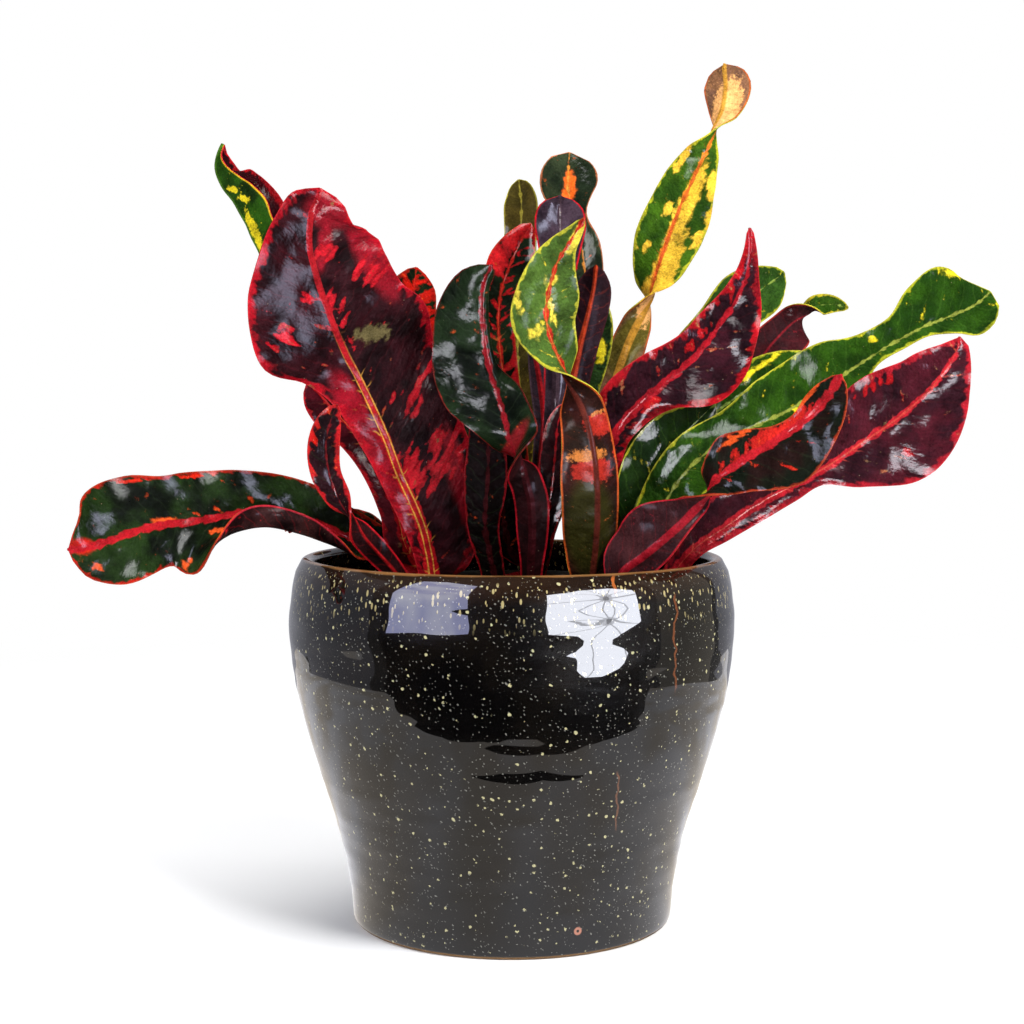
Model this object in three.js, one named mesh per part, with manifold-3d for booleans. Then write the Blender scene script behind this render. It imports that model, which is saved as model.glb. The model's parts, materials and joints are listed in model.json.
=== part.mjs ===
// Potted croton. A glazed cover pot holds a plastic grower's pot, its soil, three rooted
// cuttings and their leaves, many of them twisted like a corkscrew.
// Millimetres, +Z up, the origin under the middle of the cover pot, -Y towards the front.

import * as THREE from 'three';
import { mergeVertices } from 'three/addons/utils/BufferGeometryUtils.js';
import Module from 'manifold-3d';

const wasm = await Module();
wasm.setup();

// Driving sizes of the pots
const POT_HEIGHT = 123;
const POT_WALL = 5;
const POT_FLOOR = 7;
const POT_SIDES = 40;
const POT_FOOT_RADIUS = 52.6;
const POT_MOUTH_RADIUS = 71.6;
const FIT_GAP = 0.3;
const GROWER_BASE_RADIUS = 44;
const GROWER_RIM_RADIUS = 60;
const GROWER_TOP = 112;
const GROWER_WALL = 1.4;
const GROWER_LIP = 2.2;
const GROWER_SIDES = 32;
const DRAIN_HOLES = 6;
const DRAIN_RADIUS = 4;
const DRAIN_CIRCLE = 28;
const SOIL_TOP = 101;

// The cover pot's outer side, radius at height
const POT_SIDE = [
  [54.1, 1.6], [55.6, 15], [58.6, 30], [63.5, 46], [69.0, 63],
  [73.0, 79], [74.8, 94], [75.1, 102], [74.2, 112], [72.9, 118.5],
];

// The cuttings that the leaves grow from: foot, lean and top
const STEM_RADIUS = 4;
const STEM_SIDES = 12;
const STEM_FOOT = 62;
const SCAR_HEIGHT = 0.3;
const SCAR_FIRST = 103;
const SCAR_STEP = 12;
const STEMS = {
  left: { x: -24, y: 6, top: 140 },
  centre: { x: 7, y: 4, top: 146 },
  right: { x: 37, y: 8, top: 142 },
};

// Leaf sizes
const BLADE = 0.9;
const RIB = 0.7;
const STALK_HALF = 1.6;
const STALK_THICK = 2.6;
const SEGMENT = 10.5;
const TWIST_SHARE = 0.12;
const CURL_SHARE = 0.06;
const WAVE_LENGTH = 26;
const NARROW_LEAF = 7.7;

// A leaf's place is given as it is seen from the front: x and z on the upright plane through
// the pot's middle, from an eye at this distance and height, and then the true depth y.
const EYE_DISTANCE = 615;
const EYE_HEIGHT = 178;

// Each leaf: the cutting that it grows from, the height where its stalk leaves it, how far its
// tip leans forward (less than 0) or back, how far the blade is turned out of the front's plane,
// and its stations from stalk to tip. A station is x, z, y, the widths of the left and the right
// half as seen from the front, the roll (0 upper side to the front, 90 right edge to the front,
// 180 underside to the front) and, where a half curls, the turn at its left and right margins.
const LEAVES = {
  leaf_left_paddle: {
    stem: 'left', at: 110, lean: -16, turn: -12, colour: '#5a1420', fold: 8, wave: 1.2, rows: [
      [-27, 115, -12, 4, 9, 0], [-28, 122, -14, 5, 15, 0], [-31, 134, -17, 6, 21, 0],
      [-38, 150, -20, 7, 25, 0], [-44, 166, -22, 9, 25, 0], [-51, 181, -23, 12, 27, 0],
      [-55.5, 190, -24, 17, 29, 0], [-59, 198, -26, 26.5, 29, 0], [-62, 206, -27, 27, 25, 0],
      [-66, 218, -28, 23, 22.6, 0],
      [-68, 228, -28, 16, 21.5, 0], [-67.5, 237, -27, 10.4, 16.6, 0],
      [-65, 243.2, -27, 7.2, 8.8, 0], [-64.2, 246.4, -26, 2.6, 3.2, 0],
    ],
  },
  leaf_left_curl: {
    stem: 'left', at: 128, lean: 22, turn: 0, colour: '#5d7a25', fold: 40, wave: 0.4, rows: [
      [-38, 150, 12, 7, 7, 0], [-56, 180, 14, 10, 10, -20], [-73, 204, 14, 11, 13, -60],
      [-84, 226, 12, 12, 14, -80, 20, 50], [-90, 238.6, 10, 11, 14.6, -86, 20, 60],
      [-95.6, 246.6, 8, 8, 12.4, -88, 20, 60], [-98, 251.6, 7, 5, 9.6, -88, 10, 50],
      [-97.6, 256.4, 7, 2.6, 6, -88, 0, 50], [-96, 260.6, 7, 0.8, 1.6, -88, 0, 40],
    ],
  },
  leaf_left_back_tip: {
    stem: 'left', at: 124, lean: 14, turn: -20, colour: '#31201a', fold: 8, wave: 0.6, rows: [
      [-30, 148, 2, 6, 6, 0], [-34, 172, 2, 9, 8, 0], [-35, 192, 2, 10, 9, 0],
      [-34.5, 206, 2, 9, 9, 0], [-33, 214, 2, 7, 7, 0], [-32, 220, 2, 1.6, 1.8, 0],
    ],
  },
  leaf_left_maroon: {
    stem: 'left', at: 118, lean: 8, turn: 15, colour: '#4b1a20', fold: 14, wave: 0.6, rows: [
      [-36, 126, -5, 6, 4, 0], [-39, 138, -6, 5.5, 6, 0], [-45, 152, -7, 5.5, 7, 0],
      [-52, 163, -7, 6, 8, 0], [-59, 171, -7, 7.6, 8, 0], [-64.6, 177, -7, 6.4, 7, 0],
      [-69, 181.6, -7, 2.4, 2.6, 0],
    ],
  },
  leaf_left_narrow: {
    stem: 'left', at: 106, lean: -6, turn: 0, colour: '#7a1620', fold: 10, wave: 0.5, rows: [
      [-37, 114, -22, 3, 3, 180], [-41, 119, -26, 3.6, 3.6, 180], [-46, 124.5, -29, 4.2, 4.2, 180],
      [-51, 130, -31, 4.2, 4.2, 160], [-55, 136, -33, 4, 4, 90], [-59, 143, -34, 4.4, 4.4, 20],
      [-61.8, 151, -34, 6, 3.8, 0], [-62.8, 160, -33, 6, 4.4, 0],
      [-61.4, 168, -32, 4.6, 3.6, 0], [-59, 174, -31, 1.4, 1.4, 0],
    ],
  },
  leaf_left_long: {
    stem: 'left', at: 114, lean: -26, turn: 0, colour: '#2c2e20', fold: 4, wave: 1.5, rows: [
      [-42, 124, 1, 3, 6, 0], [-51, 127.5, -4, 7, 8.6, 0, 60, 0],
      [-60, 131, -8, 12, 10, 0, 150, 0], [-70, 135, -11, 16, 12, 0, 185, 0],
      [-82, 138, -14, 18, 12.6, 0, 190, 0], [-93, 137, -16, 18, 14.6, 0, 185, 0],
      [-103, 135.3, -17, 18, 16, 0, 120, 0], [-110.6, 134.2, -17, 18, 16.4, 0, 20, 0],
      [-117, 133.5, -17, 14, 16, 0], [-126, 131.5, -17, 15, 18.6, 0],
      [-136, 128, -17, 15.4, 18.6, 0], [-144, 125.5, -17, 11, 14, 0],
      [-149, 125, -17, 4, 5, 0], [-150.4, 125, -17, 1.6, 2, 0],
    ],
  },
  leaf_centre_dark: {
    stem: 'centre', at: 105, lean: -12, turn: 10, colour: '#20281f', fold: 8, wave: 0.8, rows: [
      [6.4, 113, -20, 3.4, 3.2, 180], [6.5, 120, -25, 4, 3.6, 180],
      [7, 130, -28, 5, 5.4, 180], [6.5, 141, -30, 5.6, 5.6, 180],
      [4.4, 149, -31, 5.4, 5.4, 165], [1.6, 156, -31, 6, 7, 80], [-1, 163, -31, 7.4, 10.4, 10],
      [-4, 175, -31, 15.6, 8.4, 0], [-7.6, 186, -31, 17.8, 4.4, 0, 0, -120],
      [-9.6, 197, -31, 16, 4, 0, 0, -160], [-10.2, 207, -31, 14, 4, 0, 0, -160],
      [-9.6, 214.6, -31, 9.4, 3.4, 0, 0, -120], [-7, 220.8, -31, 1.6, 1.6, 0],
    ],
  },
  leaf_centre_mottled: {
    stem: 'centre', at: 128, lean: -2, turn: 0, colour: '#8c1a20', fold: 8, wave: 0.6, rows: [
      [2, 150, -10, 4, 4, 0], [-1.5, 176, -12, 4.6, 4.6, 0], [-4, 192, -13, 5.4, 5.4, 0],
      [-4.6, 203, -13, 5.4, 5.4, 0], [-3.4, 213, -13, 6.4, 6.4, 0], [-0.6, 221, -13, 7.6, 8, 0],
      [2.6, 228, -13, 5.6, 5.6, 0], [6.4, 234.6, -13, 1.8, 2, 0],
    ],
  },
  leaf_centre_olive: {
    stem: 'centre', at: 140, lean: 12, turn: 20, colour: '#6b5a2a', fold: 8, wave: 0.4, rows: [
      [4, 160, 6, 4, 4, 0], [2, 190, 5, 5, 5, 0], [2.6, 215, 3, 5.4, 5.4, 0],
      [3, 232, 1, 5.4, 5.6, 0], [3.2, 241, 0, 5.6, 5.6, 0], [2.6, 246.6, 0, 3.6, 3.8, 0],
      [2.2, 249.2, 0, 1.4, 1.4, 0],
    ],
  },
  leaf_centre_corkscrew: {
    stem: 'centre', at: 108, lean: -12, turn: -16, colour: '#6a4a22', fold: 6, wave: 0.5, rows: [
      [26.4, 114, -25, 5, 6.4, -180], [27.5, 121, -28, 6, 8.4, -180],
      [28.4, 132, -31, 7.2, 10.4, -180],
      [28.4, 148, -34, 7.4, 11, -180], [26.8, 161, -35, 7.2, 9.4, -178],
      [23.6, 173, -35, 6.8, 7.2, -160], [19.6, 182, -34, 5.2, 5.2, -90],
      [15.4, 190, -33, 7, 7.4, -15], [11.6, 202, -32, 11.4, 9, 0],
      [12.4, 212, -32, 10.6, 9.6, 0], [14.6, 220, -32, 8.6, 7, 0], [18, 226.6, -32, 5.8, 3.6, 0],
      [21.4, 231.8, -32, 3, 2.2, 0], [24.2, 236.2, -32, 0.9, 0.9, 0],
    ],
  },
  leaf_centre_hood: {
    stem: 'centre', at: 118, lean: -2, turn: 0, colour: '#4b3a44', fold: 9, wave: 0.4, rows: [
      [12, 135, -16, 3.4, 3.4, 180], [14, 160, -20, 4, 4, 180], [15, 190, -23, 4, 4, 180],
      [15.4, 214, -23, 5, 5, 180], [16, 226, -23, 7, 7, 180], [16.2, 234, -23, 8.4, 8.4, 180],
      [16, 239.4, -23, 7.4, 7.6, 180], [16, 242.4, -23, 4.8, 5, 180],
      [16, 243.8, -23, 2, 2, 180],
    ],
  },
  leaf_centre_round: {
    stem: 'centre', at: 135, lean: 8, turn: -15, colour: '#4a3a22', fold: 7, wave: 0.5, rows: [
      [16, 160, 3, 5, 5, 0], [22, 195, -1, 6, 6, 0], [24.5, 215, -6, 6, 6, 0],
      [23.2, 227, -7, 5.6, 6.2, 0], [20.6, 237, -8, 5.6, 4.4, 0], [18.8, 245.6, -8, 9.2, 8.8, 0],
      [18.8, 251.4, -8, 9, 9.4, 0], [19, 255.8, -8, 6, 6.6, 0], [19.2, 258.2, -8, 2.4, 2.6, 0],
    ],
  },
  leaf_centre_purple: {
    stem: 'centre', at: 124, lean: 0, turn: 0, colour: '#3a2228', fold: 8, wave: 0.5, rows: [
      [16, 150, -13, 4.4, 4.4, 180], [19.5, 176, -15, 5.4, 5.4, 180],
      [23, 194, -16, 6, 6, 180], [26, 206, -16, 6.4, 6.4, 180], [27.6, 214, -16, 5.6, 5.6, 180],
      [28.2, 220.6, -16, 1.8, 1.8, 180],
    ],
  },
  leaf_centre_green: {
    stem: 'centre', at: 131, lean: 0, turn: 0, colour: '#3f5d2a', fold: 8, wave: 0.4, rows: [
      [18, 152, -7, 4.4, 4.4, 0], [23, 176, -8, 6, 5.4, 0], [27.4, 193, -9, 6, 6, 0],
      [28.4, 203, -9.5, 5.4, 5.4, 0], [29.6, 211, -10, 1.6, 1.8, 0],
    ],
  },
  leaf_tall_corkscrew: {
    stem: 'right', at: 134, lean: 8, turn: 20, colour: '#8a8a24', fold: 6, wave: 0.5, rows: [
      [30, 158, 8, 5, 5, 180], [34.6, 180, 9, 6.2, 6.2, 180], [38.4, 192, 9, 6, 6, 175],
      [42, 201, 9, 5, 5, 150], [45.4, 208, 9, 4.4, 4.4, 90], [47.6, 215, 9, 7.4, 8, 20],
      [51, 226, 9, 10.4, 11, 0], [55.6, 238, 9, 10.4, 11.4, 0], [60, 248, 9, 9.4, 8.8, 0],
      [64, 256.5, 9, 6.4, 5.2, -15], [67.4, 264, 9, 3, 3, -90], [70.2, 271, 9, 5.6, 5.2, -170],
      [71.6, 279, 9, 7.8, 7.8, -180], [71.2, 284.4, 9, 6, 6, -180], [71, 287.2, 9, 2.6, 2.6, -180],
    ],
  },
  leaf_right_red: {
    stem: 'right', at: 126, lean: -10, turn: -10, colour: '#5a1624', fold: 9, wave: 1.2, rows: [
      [31, 146, -8, 5, 5, 0], [34, 162, -12, 9, 5, 0], [41, 172, -14, 13, 6, 0],
      [49.5, 180, -15, 12, 9, 0], [58, 187, -15, 10, 16, 0], [64, 193, -15, 8.6, 17, 0],
      [69.5, 200.5, -15, 7.4, 14, 0], [75, 208.5, -15, 6, 9.6, 0], [78.6, 217, -15, 4, 4.4, 0],
      [79.8, 225, -15, 2.2, 2.4, 0], [79.8, 233, -15, 0.9, 0.9, 0],
    ],
  },
  leaf_centre_maroon: {
    stem: 'centre', at: 112, lean: 0, turn: 0, colour: '#4a1219', fold: 8, wave: 0.4, rows: [
      [9.6, 121, -20, 3, 3, 0], [11, 131, -24, 3.6, 3.6, 0], [13.4, 145, -26, 5, 4.6, 0],
      [14.6, 158, -27, 4.8, 4.8, 0], [15.6, 168, -27, 3.6, 3.6, 0], [17.8, 174.5, -27, 1.2, 1.2, 0],
    ],
  },
  leaf_centre_grey: {
    stem: 'centre', at: 133, lean: 0, turn: 0, colour: '#4b3a44', fold: 8, wave: 0.3, rows: [
      [10, 155, -9, 3, 3, 180], [11, 168, -10, 3.4, 3.4, 180], [9.6, 180, -11, 3.4, 3.4, 180],
      [8, 189, -11, 2.6, 2.6, 180], [6.6, 195, -11, 1.1, 1.1, 180],
    ],
  },
  leaf_centre_shade: {
    stem: 'centre', at: 115, lean: 0, turn: 10, colour: '#2a1216', fold: 10, wave: 0.5, rows: [
      [-5, 114, -14, 3.6, 3.4, 0], [-7, 121, -18, 4.4, 4, 0], [-9, 133, -21, 6, 4.6, 0],
      [-8.4, 146, -23, 7.4, 6.6, 0], [-8, 158, -24, 7, 6, 0], [-9, 168, -24, 5, 4.6, 0],
      [-11, 175, -24, 1.3, 1.3, 0],
    ],
  },
  leaf_centre_inner: {
    stem: 'centre', at: 121, lean: 0, turn: 0, colour: '#2a1216', fold: 8, wave: 0.4, rows: [
      [-1, 126, -8, 4, 4, 0], [-3, 136, -11, 6, 6, 0], [-4, 148, -14, 6.6, 6.4, 0],
      [-5.6, 160, -16, 5, 5, 0], [-7, 168, -17, 1.4, 1.4, 0],
    ],
  },
  leaf_right_long_green: {
    stem: 'right', at: 115, lean: 14, turn: 10, colour: '#3d5a24', fold: 7, wave: 1, rows: [
      [45, 124, -12, 5, 5, 0], [49.6, 136, -16, 8, 8, 0], [55.6, 147, -19, 9.4, 9.4, 0],
      [64, 156.4, -21, 9.6, 10, 0], [75, 163.5, -23, 9, 10, 0], [88, 169.4, -24, 13, 10, 0],
      [101, 176.4, -24, 14.4, 9, 0], [111, 183.4, -24, 13, 9, 0], [121, 190, -24, 8.6, 3.4, 0],
      [131, 196, -24, 8, 3.2, 0], [139, 200.2, -24, 13.4, 3.4, 0],
      [146.4, 203.2, -24, 16.4, 6, 0], [152, 205.6, -24, 15.2, 9.4, 0],
      [156.4, 208, -24, 11, 8.6, 0], [159.2, 210.4, -24, 6.4, 5.4, 0],
      [160.6, 212, -24, 2.4, 2.4, 0],
    ],
  },
  leaf_right_green: {
    stem: 'right', at: 120, lean: 0, turn: 0, colour: '#2f4424', fold: 8, wave: 0.8, rows: [
      [38, 126, -2, 4, 4, 0], [41.6, 139, -10, 7.4, 7, 0], [48, 151, -11, 11.4, 9, 0],
      [56.4, 162, -12, 11, 9, 0], [63, 169, -12, 6.4, 6, 0], [68.6, 174.4, -12, 1.5, 1.6, 0],
    ],
  },
  leaf_right_yellow_edged: {
    stem: 'right', at: 132, lean: 10, turn: 12, colour: '#5d6f26', fold: 7, wave: 0.4, rows: [
      [46, 146, 2, 5, 5, 0], [58, 161, 0, 7, 7, 0], [71, 173, -2, 8, 8, 0],
      [82, 180.6, -4, 8.4, 8, 0], [92, 186.4, -5, 6.2, 6, 0], [100, 191, -6, 1.4, 1.6, 0],
    ],
  },
  leaf_far_right_red: {
    stem: 'right', at: 109, lean: -14, turn: -14, colour: '#6a1424', fold: 5, wave: 1.1, rows: [
      [52, 114, -25, 3, 3, 0], [57, 120, -28, 4, 3, 0], [63, 126, -31, 7, 3, 0], [71, 131.6, -33, 10, 4, 0],
      [82, 139.4, -35, 11, 5, 0], [94, 146, -36, 11, 4.6, 0], [103, 151, -36, 10.6, 4.4, 0],
      [111, 156, -36, 13, 11, 0], [120, 162.4, -36, 16, 18, 0], [128, 168, -36, 17, 20, 0],
      [135.6, 174, -36, 15.6, 18.4, 0], [141.4, 179.6, -36, 13, 14.4, 0],
      [146, 185.4, -36, 10.6, 9, 0], [149, 190.6, -36, 7, 5.4, 0],
      [150.4, 194.4, -36, 3.6, 3, 0], [150.8, 196.6, -36, 1.5, 1.5, 0],
    ],
  },
  leaf_right_twisted: {
    stem: 'right', at: 104.5, lean: -16, turn: 12, colour: '#54222a', fold: 5, wave: 0.7, rows: [
      [35, 112, -30.5, 4, 3.4, 180], [38.6, 118, -34.5, 5, 10, 180],
      [44, 122, -36, 6, 13, 180], [50.6, 127.4, -38, 5.4, 14, 180],
      [57, 133, -40, 3.6, 10.6, 180], [62, 138.4, -41, 3, 6, 170],
      [65.6, 143.6, -42, 4, 4.4, 90], [69, 148.6, -43, 6.4, 6.4, 10],
      [75, 153, -44, 10.4, 9.4, 0], [82, 157.6, -44, 8.4, 13.6, 0],
      [90, 162.6, -44, 4.4, 16, 0], [97, 167.4, -44, 3.6, 14, 0],
      [103, 172.6, -44, 5.4, 10.4, 0], [107.6, 178.4, -44, 4.6, 6.4, 0],
      [110.8, 184, -44, 1.4, 1.6, 0],
    ],
  },
  leaf_right_round_green: {
    stem: 'right', at: 129, lean: 16, turn: -14, colour: '#4a6226', fold: 7, wave: 0.6, rows: [
      [40, 148, 0, 5, 5, 0], [48, 166, -2, 7, 7, 0], [59, 186, -3, 9, 8, 0],
      [69, 199.6, -4, 8.6, 8, 0], [78, 208.4, -4, 10.6, 8.6, 0], [85.6, 214, -4, 7.4, 8, 0],
      [91.4, 218.4, -4, 1.8, 2, 0],
    ],
  },
  leaf_right_curl: {
    stem: 'right', at: 135.5, lean: 24, turn: 10, colour: '#4a2230', fold: 7, wave: 0.4, rows: [
      [50, 152, 10, 5, 5, 180], [66, 170, 9, 6.4, 6.4, 180], [79, 183, 7, 7.4, 7.4, 180],
      [88, 194.6, 6, 9, 7.4, 180], [94, 201, 6, 8.6, 6, 172], [98.4, 205, 6, 4.6, 4.6, 90],
      [103, 207.2, 6, 4, 3.8, 15],
      [108, 207.6, 6, 3, 2.8, 0], [113, 206.4, 6, 0.9, 0.9, 0],
    ],
  },
};

// The leaves at the back, each from the cutting that it grows from, the height of its stalk,
// the way it points (90 is straight back), how far it reaches, how high it rises, its half
// width and how far it has twisted at the tip.
const BACK_LEAVES = [
  { stem: 'left', at: 112, azimuth: 142, reach: 70, rise: 24, half: 12, twist: 20, colour: '#3a2a22' },
  { stem: 'left', at: 117, azimuth: 112, reach: 78, rise: 50, half: 13, twist: -30, colour: '#4a1820' },
  { stem: 'left', at: 133, azimuth: 128, reach: 40, rise: 84, half: 13, twist: 25, colour: '#2f4424' },
  { stem: 'left', at: 112, azimuth: 88, reach: 84, rise: 32, half: 12, twist: 35, colour: '#5a1624' },
  { stem: 'centre', at: 111, azimuth: 92, reach: 92, rise: 38, half: 13, twist: -25, colour: '#3d5a24' },
  { stem: 'centre', at: 122, azimuth: 118, reach: 56, rise: 62, half: 11, twist: 30, colour: '#54222a' },
  { stem: 'centre', at: 126, azimuth: 72, reach: 62, rise: 56, half: 12, twist: -35, colour: '#8c1a20' },
  { stem: 'right', at: 112, azimuth: 88, reach: 78, rise: 46, half: 12, twist: 30, colour: '#4a6226' },
  { stem: 'right', at: 118, azimuth: 57, reach: 84, rise: 34, half: 12, twist: -20, colour: '#5a1420' },
  { stem: 'right', at: 108, azimuth: 36, reach: 68, rise: 40, half: 11, twist: 15, colour: '#3a4424' },
  { stem: 'right', at: 124, azimuth: 68, reach: 44, rise: 60, half: 11, twist: 30, colour: '#6a1424' },
];
// A back leaf's outline: how wide it is at each share of its length
const BACK_OUTLINE = [
  [0.2, 0.3], [0.36, 0.72], [0.54, 1], [0.72, 0.94], [0.88, 0.66], [0.97, 0.34], [1, 0.12],
];

const plant = new THREE.Group();
const UP = new THREE.Vector3(0, 0, 1);
const radians = THREE.MathUtils.degToRad;
const mix = THREE.MathUtils.lerp;

function addPiece(name, geometry, colour, roughness) {
  const material = new THREE.MeshStandardMaterial({ color: colour, roughness, metalness: 0 });
  const mesh = new THREE.Mesh(geometry, material);
  mesh.name = name;
  plant.add(mesh);
  return mesh;
}

// Only the places of the corners, with shared corners merged and flat slivers dropped
function bare(geometry) {
  const copy = geometry.clone();
  copy.deleteAttribute('normal');
  copy.deleteAttribute('uv');
  const merged = mergeVertices(copy, 1e-4);
  const index = merged.getIndex().array;
  const kept = [];
  for (let i = 0; i < index.length; i += 3) {
    const [a, b, c] = [index[i], index[i + 1], index[i + 2]];
    if (a !== b && b !== c && c !== a) {
      kept.push(a, b, c);
    }
  }
  merged.setIndex(kept);
  return merged;
}

// A closed geometry whose faces point out
function facingOut(geometry) {
  const place = geometry.getAttribute('position');
  const index = geometry.getIndex().array;
  const [a, b, c] = [new THREE.Vector3(), new THREE.Vector3(), new THREE.Vector3()];
  let volume = 0;
  for (let i = 0; i < index.length; i += 3) {
    a.fromBufferAttribute(place, index[i]);
    b.fromBufferAttribute(place, index[i + 1]);
    c.fromBufferAttribute(place, index[i + 2]);
    volume += a.dot(b.cross(c));
  }
  if (volume < 0) {
    const turned = [];
    for (let i = 0; i < index.length; i += 3) {
      turned.push(index[i], index[i + 2], index[i + 1]);
    }
    geometry.setIndex(turned);
  }
  return geometry;
}

// A closed turned solid from points of radius and height
function turned(outline, sides) {
  const points = outline.map(([radius, height]) => new THREE.Vector2(radius, height));
  const lathe = new THREE.LatheGeometry(points, sides);
  lathe.rotateX(Math.PI / 2);
  return facingOut(bare(lathe));
}

function solidFrom(geometry) {
  const mesh = new wasm.Mesh({
    numProp: 3,
    vertProperties: new Float32Array(geometry.getAttribute('position').array),
    triVerts: new Uint32Array(geometry.getIndex().array),
  });
  return new wasm.Manifold(mesh);
}

function geometryFrom(solid) {
  const mesh = solid.getMesh();
  const geometry = new THREE.BufferGeometry();
  geometry.setAttribute('position', new THREE.BufferAttribute(mesh.vertProperties, 3));
  geometry.setIndex(new THREE.BufferAttribute(mesh.triVerts, 1));
  return geometry;
}

// A solid with round holes cut straight down through it
function drilled(geometry, holes) {
  let solid = solidFrom(geometry);
  for (const { x, y, radius, low, high } of holes) {
    const drill = new THREE.CylinderGeometry(radius, radius, high - low, STEM_SIDES);
    drill.rotateX(Math.PI / 2);
    drill.translate(x, y, (low + high) / 2);
    solid = solid.subtract(solidFrom(facingOut(bare(drill))));
  }
  return geometryFrom(solid);
}

// The cover pot: turned side, rounded lip, an inner wall of even thickness and a thick floor
function coverPot() {
  const lip = POT_WALL / 2;
  const rimRadius = POT_MOUTH_RADIUS - lip;
  const outline = [[0, 0], [POT_FOOT_RADIUS, 0]];
  outline.push(...POT_SIDE);
  for (const angle of [0, 36, 72, 108, 144, 180]) {
    const turn = radians(angle);
    outline.push([rimRadius + lip * Math.cos(turn), POT_HEIGHT - lip + lip * Math.sin(turn)]);
  }
  const inside = POT_SIDE.filter(([, height], i) => height > POT_FLOOR + 4 && i % 2 === 1);
  for (const [radius, height] of inside.reverse()) {
    outline.push([radius - POT_WALL, height]);
  }
  outline.push([POT_FOOT_RADIUS - 3.2, POT_FLOOR + 2.4], [POT_FOOT_RADIUS - 6, POT_FLOOR], [0, POT_FLOOR]);
  return turned(outline, POT_SIDES);
}

const GROWER_FOOT = POT_FLOOR + FIT_GAP;
const growerRadius = (height) =>
  mix(GROWER_BASE_RADIUS, GROWER_RIM_RADIUS, (height - GROWER_FOOT) / (GROWER_TOP - GROWER_FOOT));

// The grower's pot: a thin tapered wall, a rolled rim and drain holes in its floor
function growerPot() {
  const inner = (height) => growerRadius(height) - GROWER_WALL;
  const outline = [
    [0, GROWER_FOOT], [GROWER_BASE_RADIUS, GROWER_FOOT],
    [growerRadius(GROWER_TOP - 8), GROWER_TOP - 8],
    [GROWER_RIM_RADIUS + GROWER_LIP, GROWER_TOP - 7],
    [GROWER_RIM_RADIUS + GROWER_LIP, GROWER_TOP],
    [inner(GROWER_TOP), GROWER_TOP],
    [inner(GROWER_FOOT + GROWER_WALL), GROWER_FOOT + GROWER_WALL],
    [0, GROWER_FOOT + GROWER_WALL],
  ];
  const holes = [];
  for (let i = 0; i < DRAIN_HOLES; i += 1) {
    const turn = (2 * Math.PI * i) / DRAIN_HOLES;
    holes.push({
      x: DRAIN_CIRCLE * Math.cos(turn),
      y: DRAIN_CIRCLE * Math.sin(turn),
      radius: DRAIN_RADIUS,
      low: GROWER_FOOT - 2,
      high: GROWER_FOOT + GROWER_WALL + 2,
    });
  }
  return drilled(turned(outline, GROWER_SIDES), holes);
}

// The soil's crumbly top, as a height above or below its mean
function crumbs(x, y) {
  const broad = 1.6 * Math.sin(x / 11 + 1.3) * Math.cos(y / 9 - 0.4);
  const fine = 0.9 * Math.sin(x / 3.7 + y / 5.1) * Math.cos(y / 4.3 - x / 6.1);
  return broad + fine;
}

function soil() {
  const wall = (height) => growerRadius(height) - GROWER_WALL - FIT_GAP;
  const foot = GROWER_FOOT + GROWER_WALL + FIT_GAP;
  const edge = wall(SOIL_TOP - 1);
  const outline = [[0, foot], [wall(foot), foot]];
  for (const share of [1, 0.8, 0.6, 0.4, 0.2, 0]) {
    outline.push([edge * share, SOIL_TOP]);
  }
  const body = turned(outline, GROWER_SIDES);
  const place = body.getAttribute('position');
  for (let i = 0; i < place.count; i += 1) {
    const [x, y, z] = [place.getX(i), place.getY(i), place.getZ(i)];
    if (z > SOIL_TOP - 0.5) {
      const calm = Math.hypot(x, y) > edge - 1 ? 0 : 1;
      place.setZ(i, z + calm * crumbs(x, y) - (1 - calm));
    }
  }
  const radius = STEM_RADIUS + SCAR_HEIGHT + 2 * FIT_GAP;
  const holes = Object.values(STEMS).map(({ x, y }) => ({
    x, y, radius, low: STEM_FOOT - FIT_GAP, high: SOIL_TOP + 20,
  }));
  return drilled(body, holes);
}

// A rooted cutting: a short stem with the ring scars of old leaves and a rounded top
function cutting({ x, y, top }) {
  const outline = [[0, STEM_FOOT], [STEM_RADIUS, STEM_FOOT]];
  for (let height = SCAR_FIRST; height < top - 8; height += SCAR_STEP) {
    outline.push([STEM_RADIUS, height - 1.6]);
    outline.push([STEM_RADIUS + SCAR_HEIGHT, height]);
    outline.push([STEM_RADIUS, height + 1.6]);
  }
  outline.push([STEM_RADIUS - 0.6, top - 3], [STEM_RADIUS * 0.55, top], [0, top]);
  const geometry = turned(outline, STEM_SIDES);
  geometry.translate(x, y, 0);
  return geometry;
}

// The true point that is seen at x, z on the upright plane through the pot's middle
function seenPoint(x, z, y) {
  const share = (EYE_DISTANCE + y) / EYE_DISTANCE;
  return new THREE.Vector3(x * share, y, EYE_HEIGHT + (z - EYE_HEIGHT) * share);
}

function seenStations({ lean, turn, rows }) {
  const lengths = [0];
  for (let i = 1; i < rows.length; i += 1) {
    const step = Math.hypot(rows[i][0] - rows[i - 1][0], rows[i][1] - rows[i - 1][1]);
    lengths.push(lengths[i - 1] + step);
  }
  return rows.map(([x, z, y, left, right, roll, curlLeft = 0, curlRight = 0], i) => {
    const leaning = lean * (lengths[i] / lengths[rows.length - 1]) ** 2;
    const wider = (1 + leaning / (EYE_DISTANCE + y)) / Math.cos(radians(turn));
    return {
      place: seenPoint(x, z, y + leaning),
      values: [left * wider, right * wider, radians(roll + turn), radians(curlLeft), radians(curlRight)],
    };
  });
}

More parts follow.
